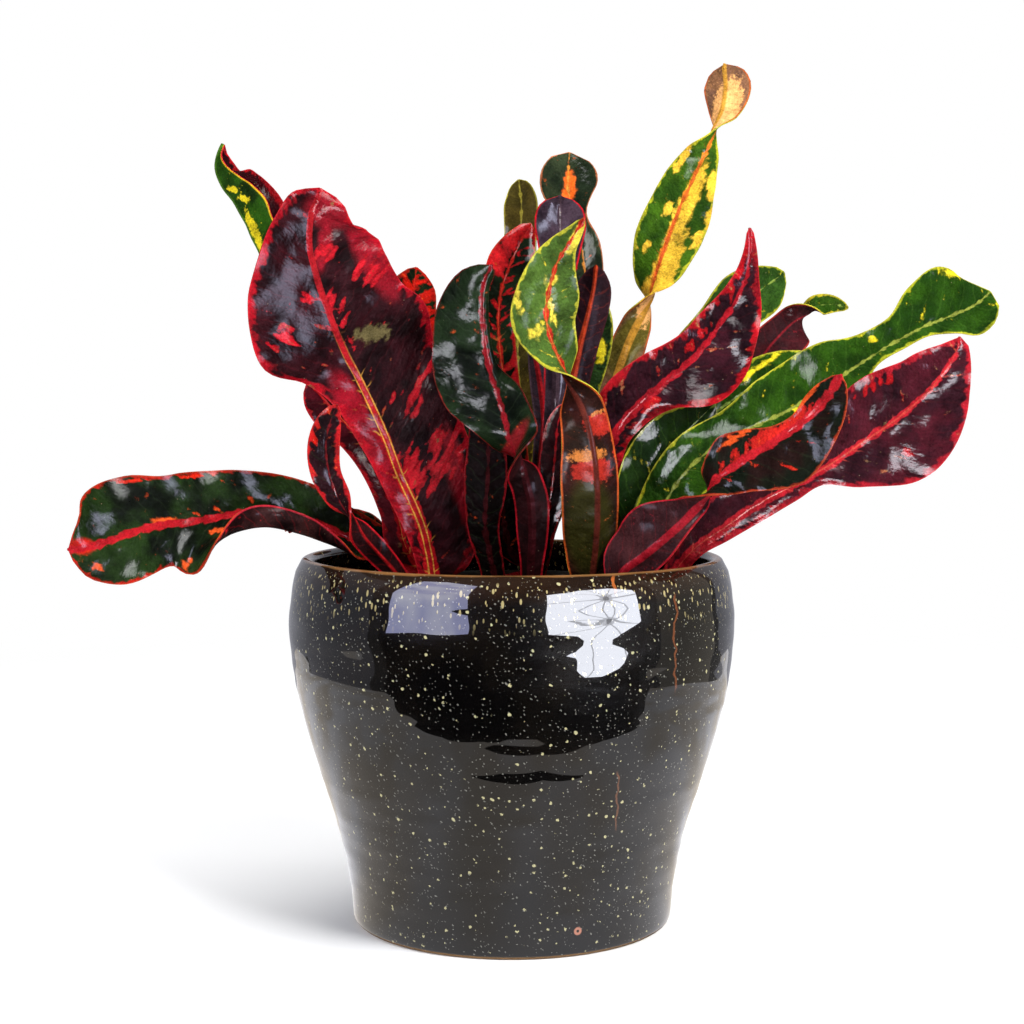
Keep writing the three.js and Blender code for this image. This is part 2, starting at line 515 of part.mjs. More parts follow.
function backStations({ stem, at, azimuth, reach, rise, half, twist }) {
  const foot = STEMS[stem];
  const way = radians(azimuth);
  return BACK_OUTLINE.map(([share, width]) => {
    const out = STEM_RADIUS + reach * share;
    const height = at + rise * (1 - (1 - share) ** 1.7) - 0.12 * reach * share ** 4;
    const place = new THREE.Vector3(
      foot.x + out * Math.cos(way), foot.y + out * Math.sin(way), height);
    return { place, values: [half * width, half * width, radians(twist * share), 0, 0] };
  });
}

// The two stations of the stalk, from the cutting's side straight out
function stalkStations(stem, at, first) {
  const foot = STEMS[stem];
  const out = new THREE.Vector3(first.place.x - foot.x, first.place.y - foot.y, 0).normalize();
  const values = [STALK_HALF, STALK_HALF, first.values[2], 0, 0];
  return [STEM_RADIUS + SCAR_HEIGHT + FIT_GAP, STEM_RADIUS + 4].map((distance, i) => ({
    place: new THREE.Vector3(foot.x, foot.y, at + 0.6 * i).addScaledVector(out, distance),
    values: [...values],
  }));
}

// A smooth course through the stations, by Hermite curves over the length between them
function course(stations) {
  const count = stations.length;
  const rows = stations.map(({ place, values }) => [...place.toArray(), ...values]);
  const knots = [0];
  for (let i = 1; i < count; i += 1) {
    knots.push(knots[i - 1] + stations[i].place.distanceTo(stations[i - 1].place));
  }
  const slope = (i, k) => {
    const before = Math.max(i - 1, 0);
    const after = Math.min(i + 1, count - 1);
    return (rows[after][k] - rows[before][k]) / (knots[after] - knots[before]);
  };
  const samples = [];
  for (let i = 0; i + 1 < count; i += 1) {
    const span = knots[i + 1] - knots[i];
    const twist = Math.abs(rows[i + 1][5] - rows[i][5]) * THREE.MathUtils.RAD2DEG;
    const curl = Math.abs(rows[i + 1][6] - rows[i][6]) * THREE.MathUtils.RAD2DEG;
    const steps = Math.max(1, Math.round((span + TWIST_SHARE * twist + CURL_SHARE * curl) / SEGMENT));
    for (let step = 0; step < steps; step += 1) {
      samples.push(rows[i].map((value, k) => hermite(
        value, rows[i + 1][k], span * slope(i, k), span * slope(i + 1, k), step / steps)));
    }
  }
  samples.push(rows[count - 1]);
  return samples;
}

function hermite(start, end, slopeStart, slopeEnd, t) {
  const [t2, t3] = [t * t, t * t * t];
  return (2 * t3 - 3 * t2 + 1) * start + (t3 - 2 * t2 + t) * slopeStart
    + (3 * t2 - 2 * t3) * end + (t3 - t2) * slopeEnd;
}

// Which way the upper side would face with no roll: to the eye, or up
function facing(place, seen) {
  return seen ? new THREE.Vector3(0, -EYE_DISTANCE, EYE_HEIGHT).sub(place).normalize() : UP.clone();
}

// A half of the blade is an arc of its width that leaves the rib at the fold and then curls
function acrossHalf(width, share, fold, curl) {
  if (Math.abs(curl) < 1e-3) {
    return [width * share * Math.cos(fold), width * share * Math.sin(fold)];
  }
  const end = fold + curl * share;
  return [
    (width / curl) * (Math.sin(end) - Math.sin(fold)),
    (width / curl) * (Math.cos(fold) - Math.cos(end)),
  ];
}

// The blade's middle surface: rows of points along the leaf, each row from left to right
function bladeRows({ stations, stalks, seen, fold, wave, across }) {
  const samples = course(stations);
  const places = samples.map((row) => new THREE.Vector3(row[0], row[1], row[2]));
  const last = places.length - 1;
  const tangents = places.map((_, i) => new THREE.Vector3()
    .subVectors(places[Math.min(i + 1, last)], places[Math.max(i - 1, 0)]).normalize());
  const firstSeen = places.findIndex((place) => place.distanceTo(stations[stalks].place) < 1e-6);
  const sides = [];
  for (let i = last; i >= 0; i -= 1) {
    const tangent = tangents[i];
    if (i >= firstSeen) {
      const face = facing(places[i], seen);
      const upper = face.addScaledVector(tangent, -face.dot(tangent)).normalize();
      const right = new THREE.Vector3().crossVectors(tangent, upper);
      const roll = samples[i][5];
      sides[i] = right.multiplyScalar(Math.cos(roll)).addScaledVector(upper, Math.sin(roll));
    } else {
      const carried = sides[i + 1].clone();
      sides[i] = carried.addScaledVector(tangent, -carried.dot(tangent)).normalize();
    }
  }
  let length = 0;
  return places.map((place, i) => {
    if (i > 0) {
      length += place.distanceTo(places[i - 1]);
    }
    const side = sides[i];
    const upper = new THREE.Vector3().crossVectors(side, tangents[i]);
    const [, , , left, right, , curlLeft, curlRight] = samples[i];
    const points = [];
    for (let j = -across; j <= across; j += 1) {
      const share = Math.abs(j) / across;
      const sign = Math.sign(j);
      const width = sign < 0 ? left : right;
      const curl = sign < 0 ? curlLeft : curlRight;
      const bladeFold = radians(fold) * THREE.MathUtils.smoothstep(width, STALK_HALF, 6);
      const [beside, above] = acrossHalf(width, share, bladeFold, curl);
      const phase = sign < 0 ? 0.8 : 3.1;
      const calm = THREE.MathUtils.smoothstep(width, 3, 10);
      const ripple = wave * calm * share * share * Math.sin((2 * Math.PI * length) / WAVE_LENGTH + phase);
      points.push(place.clone().addScaledVector(side, sign * beside).addScaledVector(upper, above + ripple));
    }
    const half = (left + right) / 2;
    const stalk = i < places.length / 2 ? 1 - THREE.MathUtils.smoothstep(half, STALK_HALF, 5) : 0;
    return { points, stalk };
  });
}

// The closed blade: its upper and lower sides share one grid, so they never meet
function leafGeometry(leaf) {
  const { across } = leaf;
  const rows = bladeRows(leaf);
  const columns = 2 * across + 1;
  const upper = [];
  const lower = [];
  rows.forEach(({ points, stalk }, i) => {
    const before = rows[Math.max(i - 1, 0)].points;
    const after = rows[Math.min(i + 1, rows.length - 1)].points;
    points.forEach((point, j) => {
      const along = new THREE.Vector3().subVectors(after[j], before[j]);
      const over = new THREE.Vector3()
        .subVectors(points[Math.min(j + 1, columns - 1)], points[Math.max(j - 1, 0)]);
      const normal = over.cross(along).normalize();
      const rib = RIB * (1 - Math.abs(j - across) / across) ** 2;
      const thick = mix(BLADE, STALK_THICK, stalk);
      upper.push(point.clone().addScaledVector(normal, thick / 2));
      lower.push(point.clone().addScaledVector(normal, -thick / 2 - rib * (1 - stalk)));
    });
  });
  const vertices = [...upper, ...lower];
  const under = upper.length;
  const at = (i, j) => i * columns + j;
  const index = [];
  const quad = (a, b, c, d) => index.push(a, b, c, a, c, d);
  const ends = rows.length - 1;
  for (let i = 0; i < ends; i += 1) {
    for (let j = 0; j + 1 < columns; j += 1) {
      const [a, b, c, d] = [at(i, j), at(i, j + 1), at(i + 1, j + 1), at(i + 1, j)];
      index.push(a, b, c, a, c, d);
      index.push(under + a, under + c, under + b, under + a, under + d, under + c);
    }
    const edge = columns - 1;
    quad(at(i, 0), at(i + 1, 0), under + at(i + 1, 0), under + at(i, 0));
    quad(at(i + 1, edge), at(i, edge), under + at(i, edge), under + at(i + 1, edge));
  }
  for (let j = 0; j + 1 < columns; j += 1) {
    quad(at(0, j + 1), at(0, j), under + at(0, j), under + at(0, j + 1));
    quad(at(ends, j), at(ends, j + 1), under + at(ends, j + 1), under + at(ends, j));
  }
  const geometry = new THREE.BufferGeometry();
  const flat = vertices.flatMap((vertex) => vertex.toArray());
  geometry.setAttribute('position', new THREE.Float32BufferAttribute(flat, 3));
  geometry.setIndex(index);
  return facingOut(geometry);
}

addPiece('cover_pot', coverPot(), '#171310', 0.12);
addPiece('grower_pot', growerPot(), '#22221f', 0.5);
addPiece('soil', soil(), '#2a1d14', 0.95);
for (const [place, stem] of Object.entries(STEMS)) {
  addPiece(`cutting_${place}`, cutting(stem), '#5b4a34', 0.8);
}
for (const [name, leaf] of Object.entries(LEAVES)) {
  const { stem, at, colour, fold, wave, rows } = leaf;
  const blade = seenStations(leaf);
  const stations = [...stalkStations(stem, at, blade[0]), ...blade];
  const widest = Math.max(...rows.flatMap(([, , , left, right]) => [left, right]));
  const across = widest < NARROW_LEAF ? 1 : 2;
  const geometry = leafGeometry({ stations, stalks: 2, seen: true, fold, wave, across });
  addPiece(name, geometry, colour, 0.35);
}
BACK_LEAVES.forEach((leaf, i) => {
  const blade = backStations(leaf);
  const stations = [...stalkStations(leaf.stem, leaf.at, blade[0]), ...blade];
  const geometry = leafGeometry({ stations, stalks: 2, seen: false, fold: 10, wave: 0.8, across: 1 });
  addPiece(`leaf_back_${i + 1}`, geometry, leaf.colour, 0.35);
});

export default plant;
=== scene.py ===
# Potted croton: the visible surfaces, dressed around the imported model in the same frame.
# The leaf table, the pots and the stems are in millimetres, and MM turns them into metres.
import json
import math
import random

import bpy
import numpy as np
from mathutils import Matrix, Vector, noise


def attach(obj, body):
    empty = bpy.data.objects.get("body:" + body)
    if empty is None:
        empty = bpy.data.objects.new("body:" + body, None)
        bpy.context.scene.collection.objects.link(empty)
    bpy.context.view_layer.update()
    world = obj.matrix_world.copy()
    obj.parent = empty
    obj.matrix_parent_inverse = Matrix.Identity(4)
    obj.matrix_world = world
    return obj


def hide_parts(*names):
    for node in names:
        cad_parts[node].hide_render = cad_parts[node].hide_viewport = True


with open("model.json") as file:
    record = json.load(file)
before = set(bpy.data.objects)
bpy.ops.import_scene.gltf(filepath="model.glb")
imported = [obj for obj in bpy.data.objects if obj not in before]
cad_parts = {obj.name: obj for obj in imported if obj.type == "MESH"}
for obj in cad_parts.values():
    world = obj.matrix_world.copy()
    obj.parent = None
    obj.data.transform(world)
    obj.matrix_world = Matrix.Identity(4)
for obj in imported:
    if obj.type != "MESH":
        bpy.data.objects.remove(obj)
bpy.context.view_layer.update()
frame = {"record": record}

MM = 0.001
SLOTS = {row["node"]: row["material_slot"] for row in frame["record"]["subparts"]}

# Sizes of the pots and the soil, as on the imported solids. The cove is the round inside the
# foot: how far in from the foot's radius and how high over the floor. The wall is a little
# uneven, as thrown by hand, but for a smooth band: its middle, how far from there it is smooth,
# and where the rough wall begins. A start or an end is the two heights that it is spread over.
POT_HEIGHT = 123
POT_WALL = 5
POT_FLOOR = 7
POT_FOOT_RADIUS = 52.6
POT_MOUTH_RADIUS = 71.6
POT_SIDES = 240
POT_RING_STEP = 1.5
POT_FOOT = [(POT_FOOT_RADIUS, 0), (53.3, 0.2), (53.8, 0.8)]
POT_SIDE = [
    (54.1, 1.6), (54.7, 8), (55.7, 16), (57.5, 24.7), (59.5, 33), (62.1, 41.4), (64.8, 49.7),
    (67.4, 58), (69.8, 66.3), (71.8, 74.5), (73.6, 82.7), (74.5, 90.9), (75.1, 99), (75.0, 106),
    (74.3, 111), (73.7, 115), (72.9, 118.5),
]
POT_COVE = [(3.2, 2.4), (6, 0)]
POT_LINING = (11, 117)
SMOOTH_BAND = (63, 6, 13)
RIDGE_HEIGHT = 0.05
RIDGE_STEP = 6.1
RIDGES_START = (6, 16)
RIDGES_END = (70, 100)
HAND_WIDTH = 26
HAND_MARK = 6.5
HAND_DEPTH = 0.32
HAND_START = (3, 14)
HAND_END = (108, 118)
FIT_GAP = 0.3
GROWER_BASE_RADIUS = 44
GROWER_RIM_RADIUS = 60
GROWER_FOOT = POT_FLOOR + FIT_GAP
GROWER_TOP = 112
GROWER_WALL = 1.4
GROWER_LIP = 2.2
GROWER_SIDES = 96
DRAIN_HOLES = 6
DRAIN_RADIUS = 4
DRAIN_CIRCLE = 28
SOIL_TOP = 101
SOIL_CELLS = 110
CRUMB_COUNT = 260
CRUMB_SIZE = (0.5, 1.5)

# Marks of the glaze in metres: the two heights between which a mark starts or ends. A rust run
# is its x, its lower and upper end, its half width and its colour.
FOOT_LINE_END = (0.0007, 0.0013)
WARM_START = (0.104, 0.1215)
DRIPS_START = (0.104, 0.115)
DRIPS_END = (0.1198, 0.1215)
RIM_LINE_START = (0.1229, 0.1235)
PINHOLE = (0.0208, -0.0507, 0.0085)
PINHOLE_RADIUS = 0.0009
STREAK_WANDER = 0.003
RUST_RUNS = [
    (0.0505, 0.084, 0.1165, 0.00035, "#5e3218"), (0.031, 0.1165, 0.1232, 0.0005, "#9c5426"),
    (0.0325, 0.04, 0.062, 0.0003, "#5c3a26"),
]

# The cuttings that the leaves grow from: x, y and the height of the top. A ring scar is drawn
# in steps of more or less radius and of height.
STEM_RADIUS = 4
STEM_SIDES = 24
STEM_FOOT = 62
SCAR_HEIGHT = 0.3
SCAR_FIRST = 103
SCAR_STEP = 12
SCAR_STEPS = [(-0.25, -5), (-0.3, -1.6), (0.1, -0.8), (SCAR_HEIGHT, 0), (0.1, 0.7), (-0.2, 1.6)]
STEMS = {"left": (-24, 6, 140), "centre": (7, 4, 146), "right": (37, 8, 142)}

# Leaf sizes. The side veins leave the rib at a slant, and wander a little from even steps.
BLADE = 0.8
BLADE_EDGE = 0.45
RIB = 0.8
RIB_DROP = 0.7
STALK_HALF = 1.6
STALK_THICK = 2.6
STALK_STATIONS = 2
SEGMENT = 1.7
TWIST_SHARE = 0.12
CURL_SHARE = 0.06
WAVE_LENGTH = 26
SWELL = 0.75
FLUTTER = 0.5
NARROW_LEAF = 7.7
VEIN_SLANT = 0.75
VEIN_STEP = 5.0
VEIN_WANDER = 3.0

# Depth of the fine relief in metres, and how much of it the clear coat follows. The leaves'
# usual shine, and how thickly the flush marks are usually filled.
UPPER_RELIEF = 0.00045
UNDER_RELIEF = 0.00025
COAT_RELIEF = 0.1
UPPER_SHINE = 0.26
UNDER_SHINE = 0.1
UPPER_GLOSS = 0.085
FLUSH_SHARE = 0.27

# A leaf's place is given as it is seen from the front: x and z on the upright plane through
# the pot's middle, from an eye at this distance and height, and then the true depth y.
EYE_DISTANCE = 615
EYE_HEIGHT = 178
EYE_DIP = 3.75
LENS = 64.0

# The studio in metres: where the floor runs out to white, the table's edge as the glaze shows
# it, and the cards as azimuth and lower and upper elevation from the pot's shoulder. A card's
# reach is its lower and upper elevation where they are the same all along. The lamp head is its
# azimuth and elevation, and its outside and its core are where they fade, in radians.
# A leaf light is its colour, its strength and the azimuth and elevation of two corners.
# A softbox is its place, its size, its power and its colour.
FLOOR_FADE = (0.3, 0.75)
ROOM_LIGHT = 0.09
TABLE_LIGHT = 1.03
BACK_LIGHT = 0.5
WALL_LIGHT = 0.55
WALL_DISTANCE = 1.2
WALL_REACH = (-26, 40)
WALLS = {"left_wall": ("#d4d4e0", (-128, -100, -77)), "right_wall": ("#e0d8ca", (80, 100, 124))}
FRONT_DISTANCE = 1.3
FRONT_REACH = (-60, 50)
GLAZE_SHOULDER = (0.01, -0.07, 0.105)
TABLE_EDGE = [
    (-0.38, 0.1), (-0.35, -0.09), (-0.28, -0.155), (-0.17, -0.126), (-0.115, -0.136),
    (-0.04, -0.154), (0.03, -0.148), (0.09, -0.132), (0.15, -0.1), (0.19, -0.102),
    (0.29, -0.135), (0.33, 0.0), (0.31, 0.15),
]
SLOT_NEAR = [(-0.04, -0.1235), (-0.01, -0.1315), (0.03, -0.131), (0.07, -0.111)]
SLOT_FAR = [(-0.04, -0.123), (-0.01, -0.1245), (0.03, -0.123), (0.07, -0.1095)]
LAMP_DISTANCE = 0.9
LAMP_HEAD = (50, 15)
LAMP_OUTSIDE = (0.06, 0.07)
LAMP_CORE = (0.03, 0.036)
UMBRELLA_LIGHT = 22.0
UMBRELLA_RIBS = 10
UMBRELLA = [(18, -5, 24), (32, -9, 30), (38, -17, 34), (48, -18, 34), (57, -9, 34), (68, 6, 24)]
WINDOW = [(-66, 2, 52), (-50, 5, 56), (-24, 9, 50)]
LEAF_LIGHTS = {
    "right_leaf_light": ("#dcdcfa", 26.0, (31, -14), (57, 8)),
    "low_leaf_light": ("#f6f6ff", 44.0, (-16, -22), (7, -11)),
    "high_leaf_light": ("#ffffff", 26.0, (-13, 8), (15, 27)),
    "left_leaf_light": ("#d4d8f4", 23.0, (-58, 7), (-34, 27)),
}
SOFTBOXES = {
    "key_light": ((0.6, -0.55, 0.8), 0.5, 17, (1, 1, 1)),
    "left_light": ((-0.75, -0.5, 0.5), 0.5, 7, (0.94, 0.95, 1)),
    "top_light": ((0.1, 0.3, 1.1), 0.8, 12, (1, 1, 1)),
}
SOFTBOX_AIM = (0, 0, 0.16)

# Each leaf: the cutting that it grows from, the height where its stalk leaves it, how far its
# tip leans forward (less than 0) or back, how far the blade is turned out of the front's plane,
# how steeply its halves fold up, how high its margin waves, and its stations from stalk to tip.
# A station is x, z, y and the widths of the left and the right half as seen from the front.
# Then, where it isn't 0, the roll (90 right edge to the front, 180 underside to the front) and,
# where a half curls, the turn at its left and right margins.
LEAVES = {
    "leaf_left_paddle": dict(stem="left", at=110, lean=-16, turn=-12, fold=8, wave=1.2, rows=[
        (-27, 115, -12, 4, 9), (-28, 122, -14, 5, 15), (-31, 134, -17, 6, 21), (-38, 150, -20, 7, 25),
        (-44, 166, -22, 9, 25), (-51, 181, -23, 12, 27), (-55.5, 190, -24, 17, 29),
        (-59, 198, -26, 26.5, 29), (-62, 206, -27, 27, 25), (-66, 218, -28, 23, 22.6),
        (-68, 228, -28, 16, 21.5), (-67.5, 237, -27, 10.4, 16.6), (-65, 243.2, -27, 7.2, 8.8),
        (-64.2, 246.4, -26, 2.6, 3.2),
    ]),
    "leaf_left_curl": dict(stem="left", at=128, lean=22, fold=40, wave=0.4, rows=[
        (-38, 150, 12, 7, 7), (-56, 180, 14, 10, 10, -20), (-73, 204, 14, 11, 13, -60),
        (-84, 226, 12, 12, 14, -80, 20, 50), (-90, 238.6, 10, 11, 14.6, -86, 20, 60),
        (-95.6, 246.6, 8, 8, 12.4, -88, 20, 60), (-98, 251.6, 7, 5, 9.6, -88, 10, 50),
        (-97.6, 256.4, 7, 2.6, 6, -88, 0, 50), (-96, 260.6, 7, 0.8, 1.6, -88, 0, 40),
    ]),
    "leaf_left_back_tip": dict(stem="left", at=124, lean=14, turn=-20, fold=8, wave=0.6, rows=[
        (-30, 148, 2, 6, 6), (-34, 172, 2, 9, 8), (-35, 192, 2, 10, 9), (-34.5, 206, 2, 9, 9),
        (-33, 214, 2, 7, 7), (-32, 220, 2, 1.6, 1.8),
    ]),
    "leaf_left_maroon": dict(stem="left", at=118, lean=8, turn=15, fold=14, wave=0.6, rows=[
        (-36, 126, -5, 6, 4), (-39, 138, -6, 5.5, 6), (-45, 152, -7, 5.5, 7), (-52, 163, -7, 6, 8),
        (-59, 171, -7, 7.6, 8), (-64.6, 177, -7, 6.4, 7), (-69, 181.6, -7, 2.4, 2.6),
    ]),
    "leaf_left_narrow": dict(stem="left", at=106, lean=-6, fold=10, wave=0.5, rows=[
        (-37, 114, -22, 3, 3, 180), (-41, 119, -26, 3.6, 3.6, 180), (-46, 124.5, -29, 4.2, 4.2, 180),
        (-51, 130, -31, 4.2, 4.2, 160), (-55, 136, -33, 4, 4, 90), (-59, 143, -34, 4.4, 4.4, 20),
        (-61.8, 151, -34, 6, 3.8), (-62.8, 160, -33, 6, 4.4), (-61.4, 168, -32, 4.6, 3.6),
        (-59, 174, -31, 1.4, 1.4),
    ]),
    "leaf_left_long": dict(stem="left", at=114, lean=-26, fold=4, wave=1.5, rows=[
        (-42, 124, 1, 3, 6), (-51, 127.5, -4, 7, 8.6, 0, 60, 0), (-60, 131, -8, 12, 10, 0, 150, 0),
        (-70, 135, -11, 16, 12, 0, 185, 0), (-82, 138, -14, 18, 12.6, 0, 190, 0),
        (-93, 137, -16, 18, 14.6, 0, 185, 0), (-103, 135.3, -17, 18, 16, 0, 120, 0),
        (-110.6, 134.2, -17, 18, 16.4, 0, 20, 0), (-117, 133.5, -17, 14, 16),
        (-126, 131.5, -17, 15, 18.6), (-136, 128, -17, 15.4, 18.6), (-144, 125.5, -17, 11, 14),
        (-149, 125, -17, 4, 5), (-150.4, 125, -17, 1.6, 2),
    ]),
    "leaf_centre_dark": dict(stem="centre", at=105, lean=-12, turn=10, fold=8, wave=0.8, rows=[
        (6.4, 113, -20, 3.4, 3.2, 180), (6.5, 120, -25, 4, 3.6, 180), (7, 130, -28, 5, 5.4, 180),
        (6.5, 141, -30, 5.6, 5.6, 180), (4.4, 149, -31, 5.4, 5.4, 165), (1.6, 156, -31, 6, 7, 80),
        (-1, 163, -31, 7.4, 10.4, 10), (-4, 175, -31, 15.6, 8.4), (-7.6, 186, -31, 17.8, 4.4, 0, 0, -120),
        (-9.6, 197, -31, 16, 4, 0, 0, -160), (-10.2, 207, -31, 14, 4, 0, 0, -160),
        (-9.6, 214.6, -31, 9.4, 3.4, 0, 0, -120), (-7, 220.8, -31, 1.6, 1.6),
    ]),
    "leaf_centre_mottled": dict(stem="centre", at=128, lean=-2, fold=8, wave=0.6, rows=[
        (2, 150, -10, 4, 4), (-1.5, 176, -12, 4.6, 4.6), (-4, 192, -13, 5.4, 5.4),
        (-4.6, 203, -13, 5.4, 5.4), (-3.4, 213, -13, 6.4, 6.4), (-0.6, 221, -13, 7.6, 8),
        (2.6, 228, -13, 5.6, 5.6), (6.4, 234.6, -13, 1.8, 2),
    ]),
    "leaf_centre_olive": dict(stem="centre", at=140, lean=12, turn=20, fold=8, wave=0.4, rows=[
        (4, 160, 6, 4, 4), (2, 190, 5, 5, 5), (2.6, 215, 3, 5.4, 5.4), (3, 232, 1, 5.4, 5.6),
        (3.2, 241, 0, 5.6, 5.6), (2.6, 246.6, 0, 3.6, 3.8), (2.2, 249.2, 0, 1.4, 1.4),
    ]),
    "leaf_centre_corkscrew": dict(stem="centre", at=108, lean=-12, turn=-16, fold=6, wave=0.5, rows=[
        (26.4, 114, -25, 5, 6.4, -180), (27.5, 121, -28, 6, 8.4, -180), (28.4, 132, -31, 7.2, 10.4, -180),
        (28.4, 148, -34, 7.4, 11, -180), (26.8, 161, -35, 7.2, 9.4, -178),
        (23.6, 173, -35, 6.8, 7.2, -160), (19.6, 182, -34, 5.2, 5.2, -90), (15.4, 190, -33, 7, 7.4, -15),
        (11.6, 202, -32, 11.4, 9), (12.4, 212, -32, 10.6, 9.6), (14.6, 220, -32, 8.6, 7),
        (18, 226.6, -32, 5.8, 3.6), (21.4, 231.8, -32, 3, 2.2), (24.2, 236.2, -32, 0.9, 0.9),
    ]),
    "leaf_centre_hood": dict(stem="centre", at=118, lean=-2, fold=9, wave=0.4, rows=[
        (12, 135, -16, 3.4, 3.4, 180), (14, 160, -20, 4, 4, 180), (15, 190, -23, 4, 4, 180),
        (15.4, 214, -23, 5, 5, 180), (16, 226, -23, 7, 7, 180), (16.2, 234, -23, 8.4, 8.4, 180),
        (16, 239.4, -23, 7.4, 7.6, 180), (16, 242.4, -23, 4.8, 5, 180), (16, 243.8, -23, 2, 2, 180),
    ]),
    "leaf_centre_round": dict(stem="centre", at=135, lean=8, turn=-15, fold=7, wave=0.5, rows=[
        (16, 160, 3, 5, 5), (22, 195, -1, 6, 6), (24.5, 215, -6, 6, 6), (23.2, 227, -7, 5.6, 6.2),
        (20.6, 237, -8, 5.6, 4.4), (18.8, 245.6, -8, 9.2, 8.8), (18.8, 251.4, -8, 9, 9.4),
        (19, 255.8, -8, 6, 6.6), (19.2, 258.2, -8, 2.4, 2.6),
    ]),
    "leaf_centre_purple": dict(stem="centre", at=124, fold=8, wave=0.5, rows=[
        (16, 150, -13, 4.4, 4.4, 180), (19.5, 176, -15, 5.4, 5.4, 180), (23, 194, -16, 6, 6, 180),
        (26, 206, -16, 6.4, 6.4, 180), (27.6, 214, -16, 5.6, 5.6, 180), (28.2, 220.6, -16, 1.8, 1.8, 180),
    ]),
    "leaf_centre_green": dict(stem="centre", at=131, fold=8, wave=0.4, rows=[
        (18, 152, -7, 4.4, 4.4), (23, 176, -8, 6, 5.4), (27.4, 193, -9, 6, 6),
        (28.4, 203, -9.5, 5.4, 5.4), (29.6, 211, -10, 1.6, 1.8),
    ]),
    "leaf_tall_corkscrew": dict(stem="right", at=134, lean=8, turn=20, fold=6, wave=0.5, rows=[
        (30, 158, 8, 5, 5, 180), (34.6, 180, 9, 6.2, 6.2, 180), (38.4, 192, 9, 6, 6, 175),
        (42, 201, 9, 5, 5, 150), (45.4, 208, 9, 4.4, 4.4, 90), (47.6, 215, 9, 7.4, 8, 20),
        (51, 226, 9, 10.4, 11), (55.6, 238, 9, 10.4, 11.4), (60, 248, 9, 9.4, 8.8),
        (64, 256.5, 9, 6.4, 5.2, -15), (67.4, 264, 9, 3, 3, -90), (70.2, 271, 9, 5.6, 5.2, -170),
        (71.6, 279, 9, 7.8, 7.8, -180), (71.2, 284.4, 9, 6, 6, -180), (71, 287.2, 9, 2.6, 2.6, -180),
    ]),
    "leaf_right_red": dict(stem="right", at=126, lean=-10, turn=-10, fold=9, wave=1.2, rows=[
        (31, 146, -8, 5, 5), (34, 162, -12, 9, 5), (41, 172, -14, 13, 6), (49.5, 180, -15, 12, 9),
        (58, 187, -15, 10, 16), (64, 193, -15, 8.6, 17), (69.5, 200.5, -15, 7.4, 14),
        (75, 208.5, -15, 6, 9.6), (78.6, 217, -15, 4, 4.4), (79.8, 225, -15, 2.2, 2.4),
        (79.8, 233, -15, 0.9, 0.9),
    ]),
    "leaf_centre_maroon": dict(stem="centre", at=112, fold=8, wave=0.4, rows=[
        (9.6, 121, -20, 3, 3), (11, 131, -24, 3.6, 3.6), (13.4, 145, -26, 5, 4.6),
        (14.6, 158, -27, 4.8, 4.8), (15.6, 168, -27, 3.6, 3.6), (17.8, 174.5, -27, 1.2, 1.2),
    ]),
    "leaf_centre_grey": dict(stem="centre", at=133, fold=8, wave=0.3, rows=[
        (10, 155, -9, 3, 3, 180), (11, 168, -10, 3.4, 3.4, 180), (9.6, 180, -11, 3.4, 3.4, 180),
        (8, 189, -11, 2.6, 2.6, 180), (6.6, 195, -11, 1.1, 1.1, 180),
    ]),
    "leaf_centre_shade": dict(stem="centre", at=115, turn=10, fold=10, wave=0.5, rows=[
        (-5, 114, -14, 3.6, 3.4), (-7, 121, -18, 4.4, 4), (-9, 133, -21, 6, 4.6),
        (-8.4, 146, -23, 7.4, 6.6), (-8, 158, -24, 7, 6), (-9, 168, -24, 5, 4.6),
        (-11, 175, -24, 1.3, 1.3),
    ]),
    "leaf_centre_inner": dict(stem="centre", at=121, fold=8, wave=0.4, rows=[
        (-1, 126, -8, 4, 4), (-3, 136, -11, 6, 6), (-4, 148, -14, 6.6, 6.4), (-5.6, 160, -16, 5, 5),
        (-7, 168, -17, 1.4, 1.4),
    ]),
    "leaf_right_long_green": dict(stem="right", at=115, lean=14, turn=10, fold=7, wave=1, rows=[
        (45, 124, -12, 5, 5), (49.6, 136, -16, 8, 8), (55.6, 147, -19, 9.4, 9.4),
        (64, 156.4, -21, 9.6, 10), (75, 163.5, -23, 9, 10), (88, 169.4, -24, 13, 10),
        (101, 176.4, -24, 14.4, 9), (111, 183.4, -24, 13, 9), (121, 190, -24, 8.6, 3.4),
        (131, 196, -24, 8, 3.2), (139, 200.2, -24, 13.4, 3.4), (146.4, 203.2, -24, 16.4, 6),
        (152, 205.6, -24, 15.2, 9.4), (156.4, 208, -24, 11, 8.6), (159.2, 210.4, -24, 6.4, 5.4),
        (160.6, 212, -24, 2.4, 2.4),
    ]),
    "leaf_right_green": dict(stem="right", at=120, fold=8, wave=0.8, rows=[
        (38, 126, -2, 4, 4), (41.6, 139, -10, 7.4, 7), (48, 151, -11, 11.4, 9), (56.4, 162, -12, 11, 9),
        (63, 169, -12, 6.4, 6), (68.6, 174.4, -12, 1.5, 1.6),
    ]),
    "leaf_right_yellow_edged": dict(stem="right", at=132, lean=10, turn=12, fold=7, wave=0.4, rows=[
        (46, 146, 2, 5, 5), (58, 161, 0, 7, 7), (71, 173, -2, 8, 8), (82, 180.6, -4, 8.4, 8),
        (92, 186.4, -5, 6.2, 6), (100, 191, -6, 1.4, 1.6),
    ]),
    "leaf_far_right_red": dict(stem="right", at=109, lean=-14, turn=-14, fold=5, wave=1.1, rows=[
        (52, 114, -25, 3, 3), (57, 120, -28, 4, 3), (63, 126, -31, 7, 3), (71, 131.6, -33, 10, 4),
        (82, 139.4, -35, 11, 5), (94, 146, -36, 11, 4.6), (103, 151, -36, 10.6, 4.4),
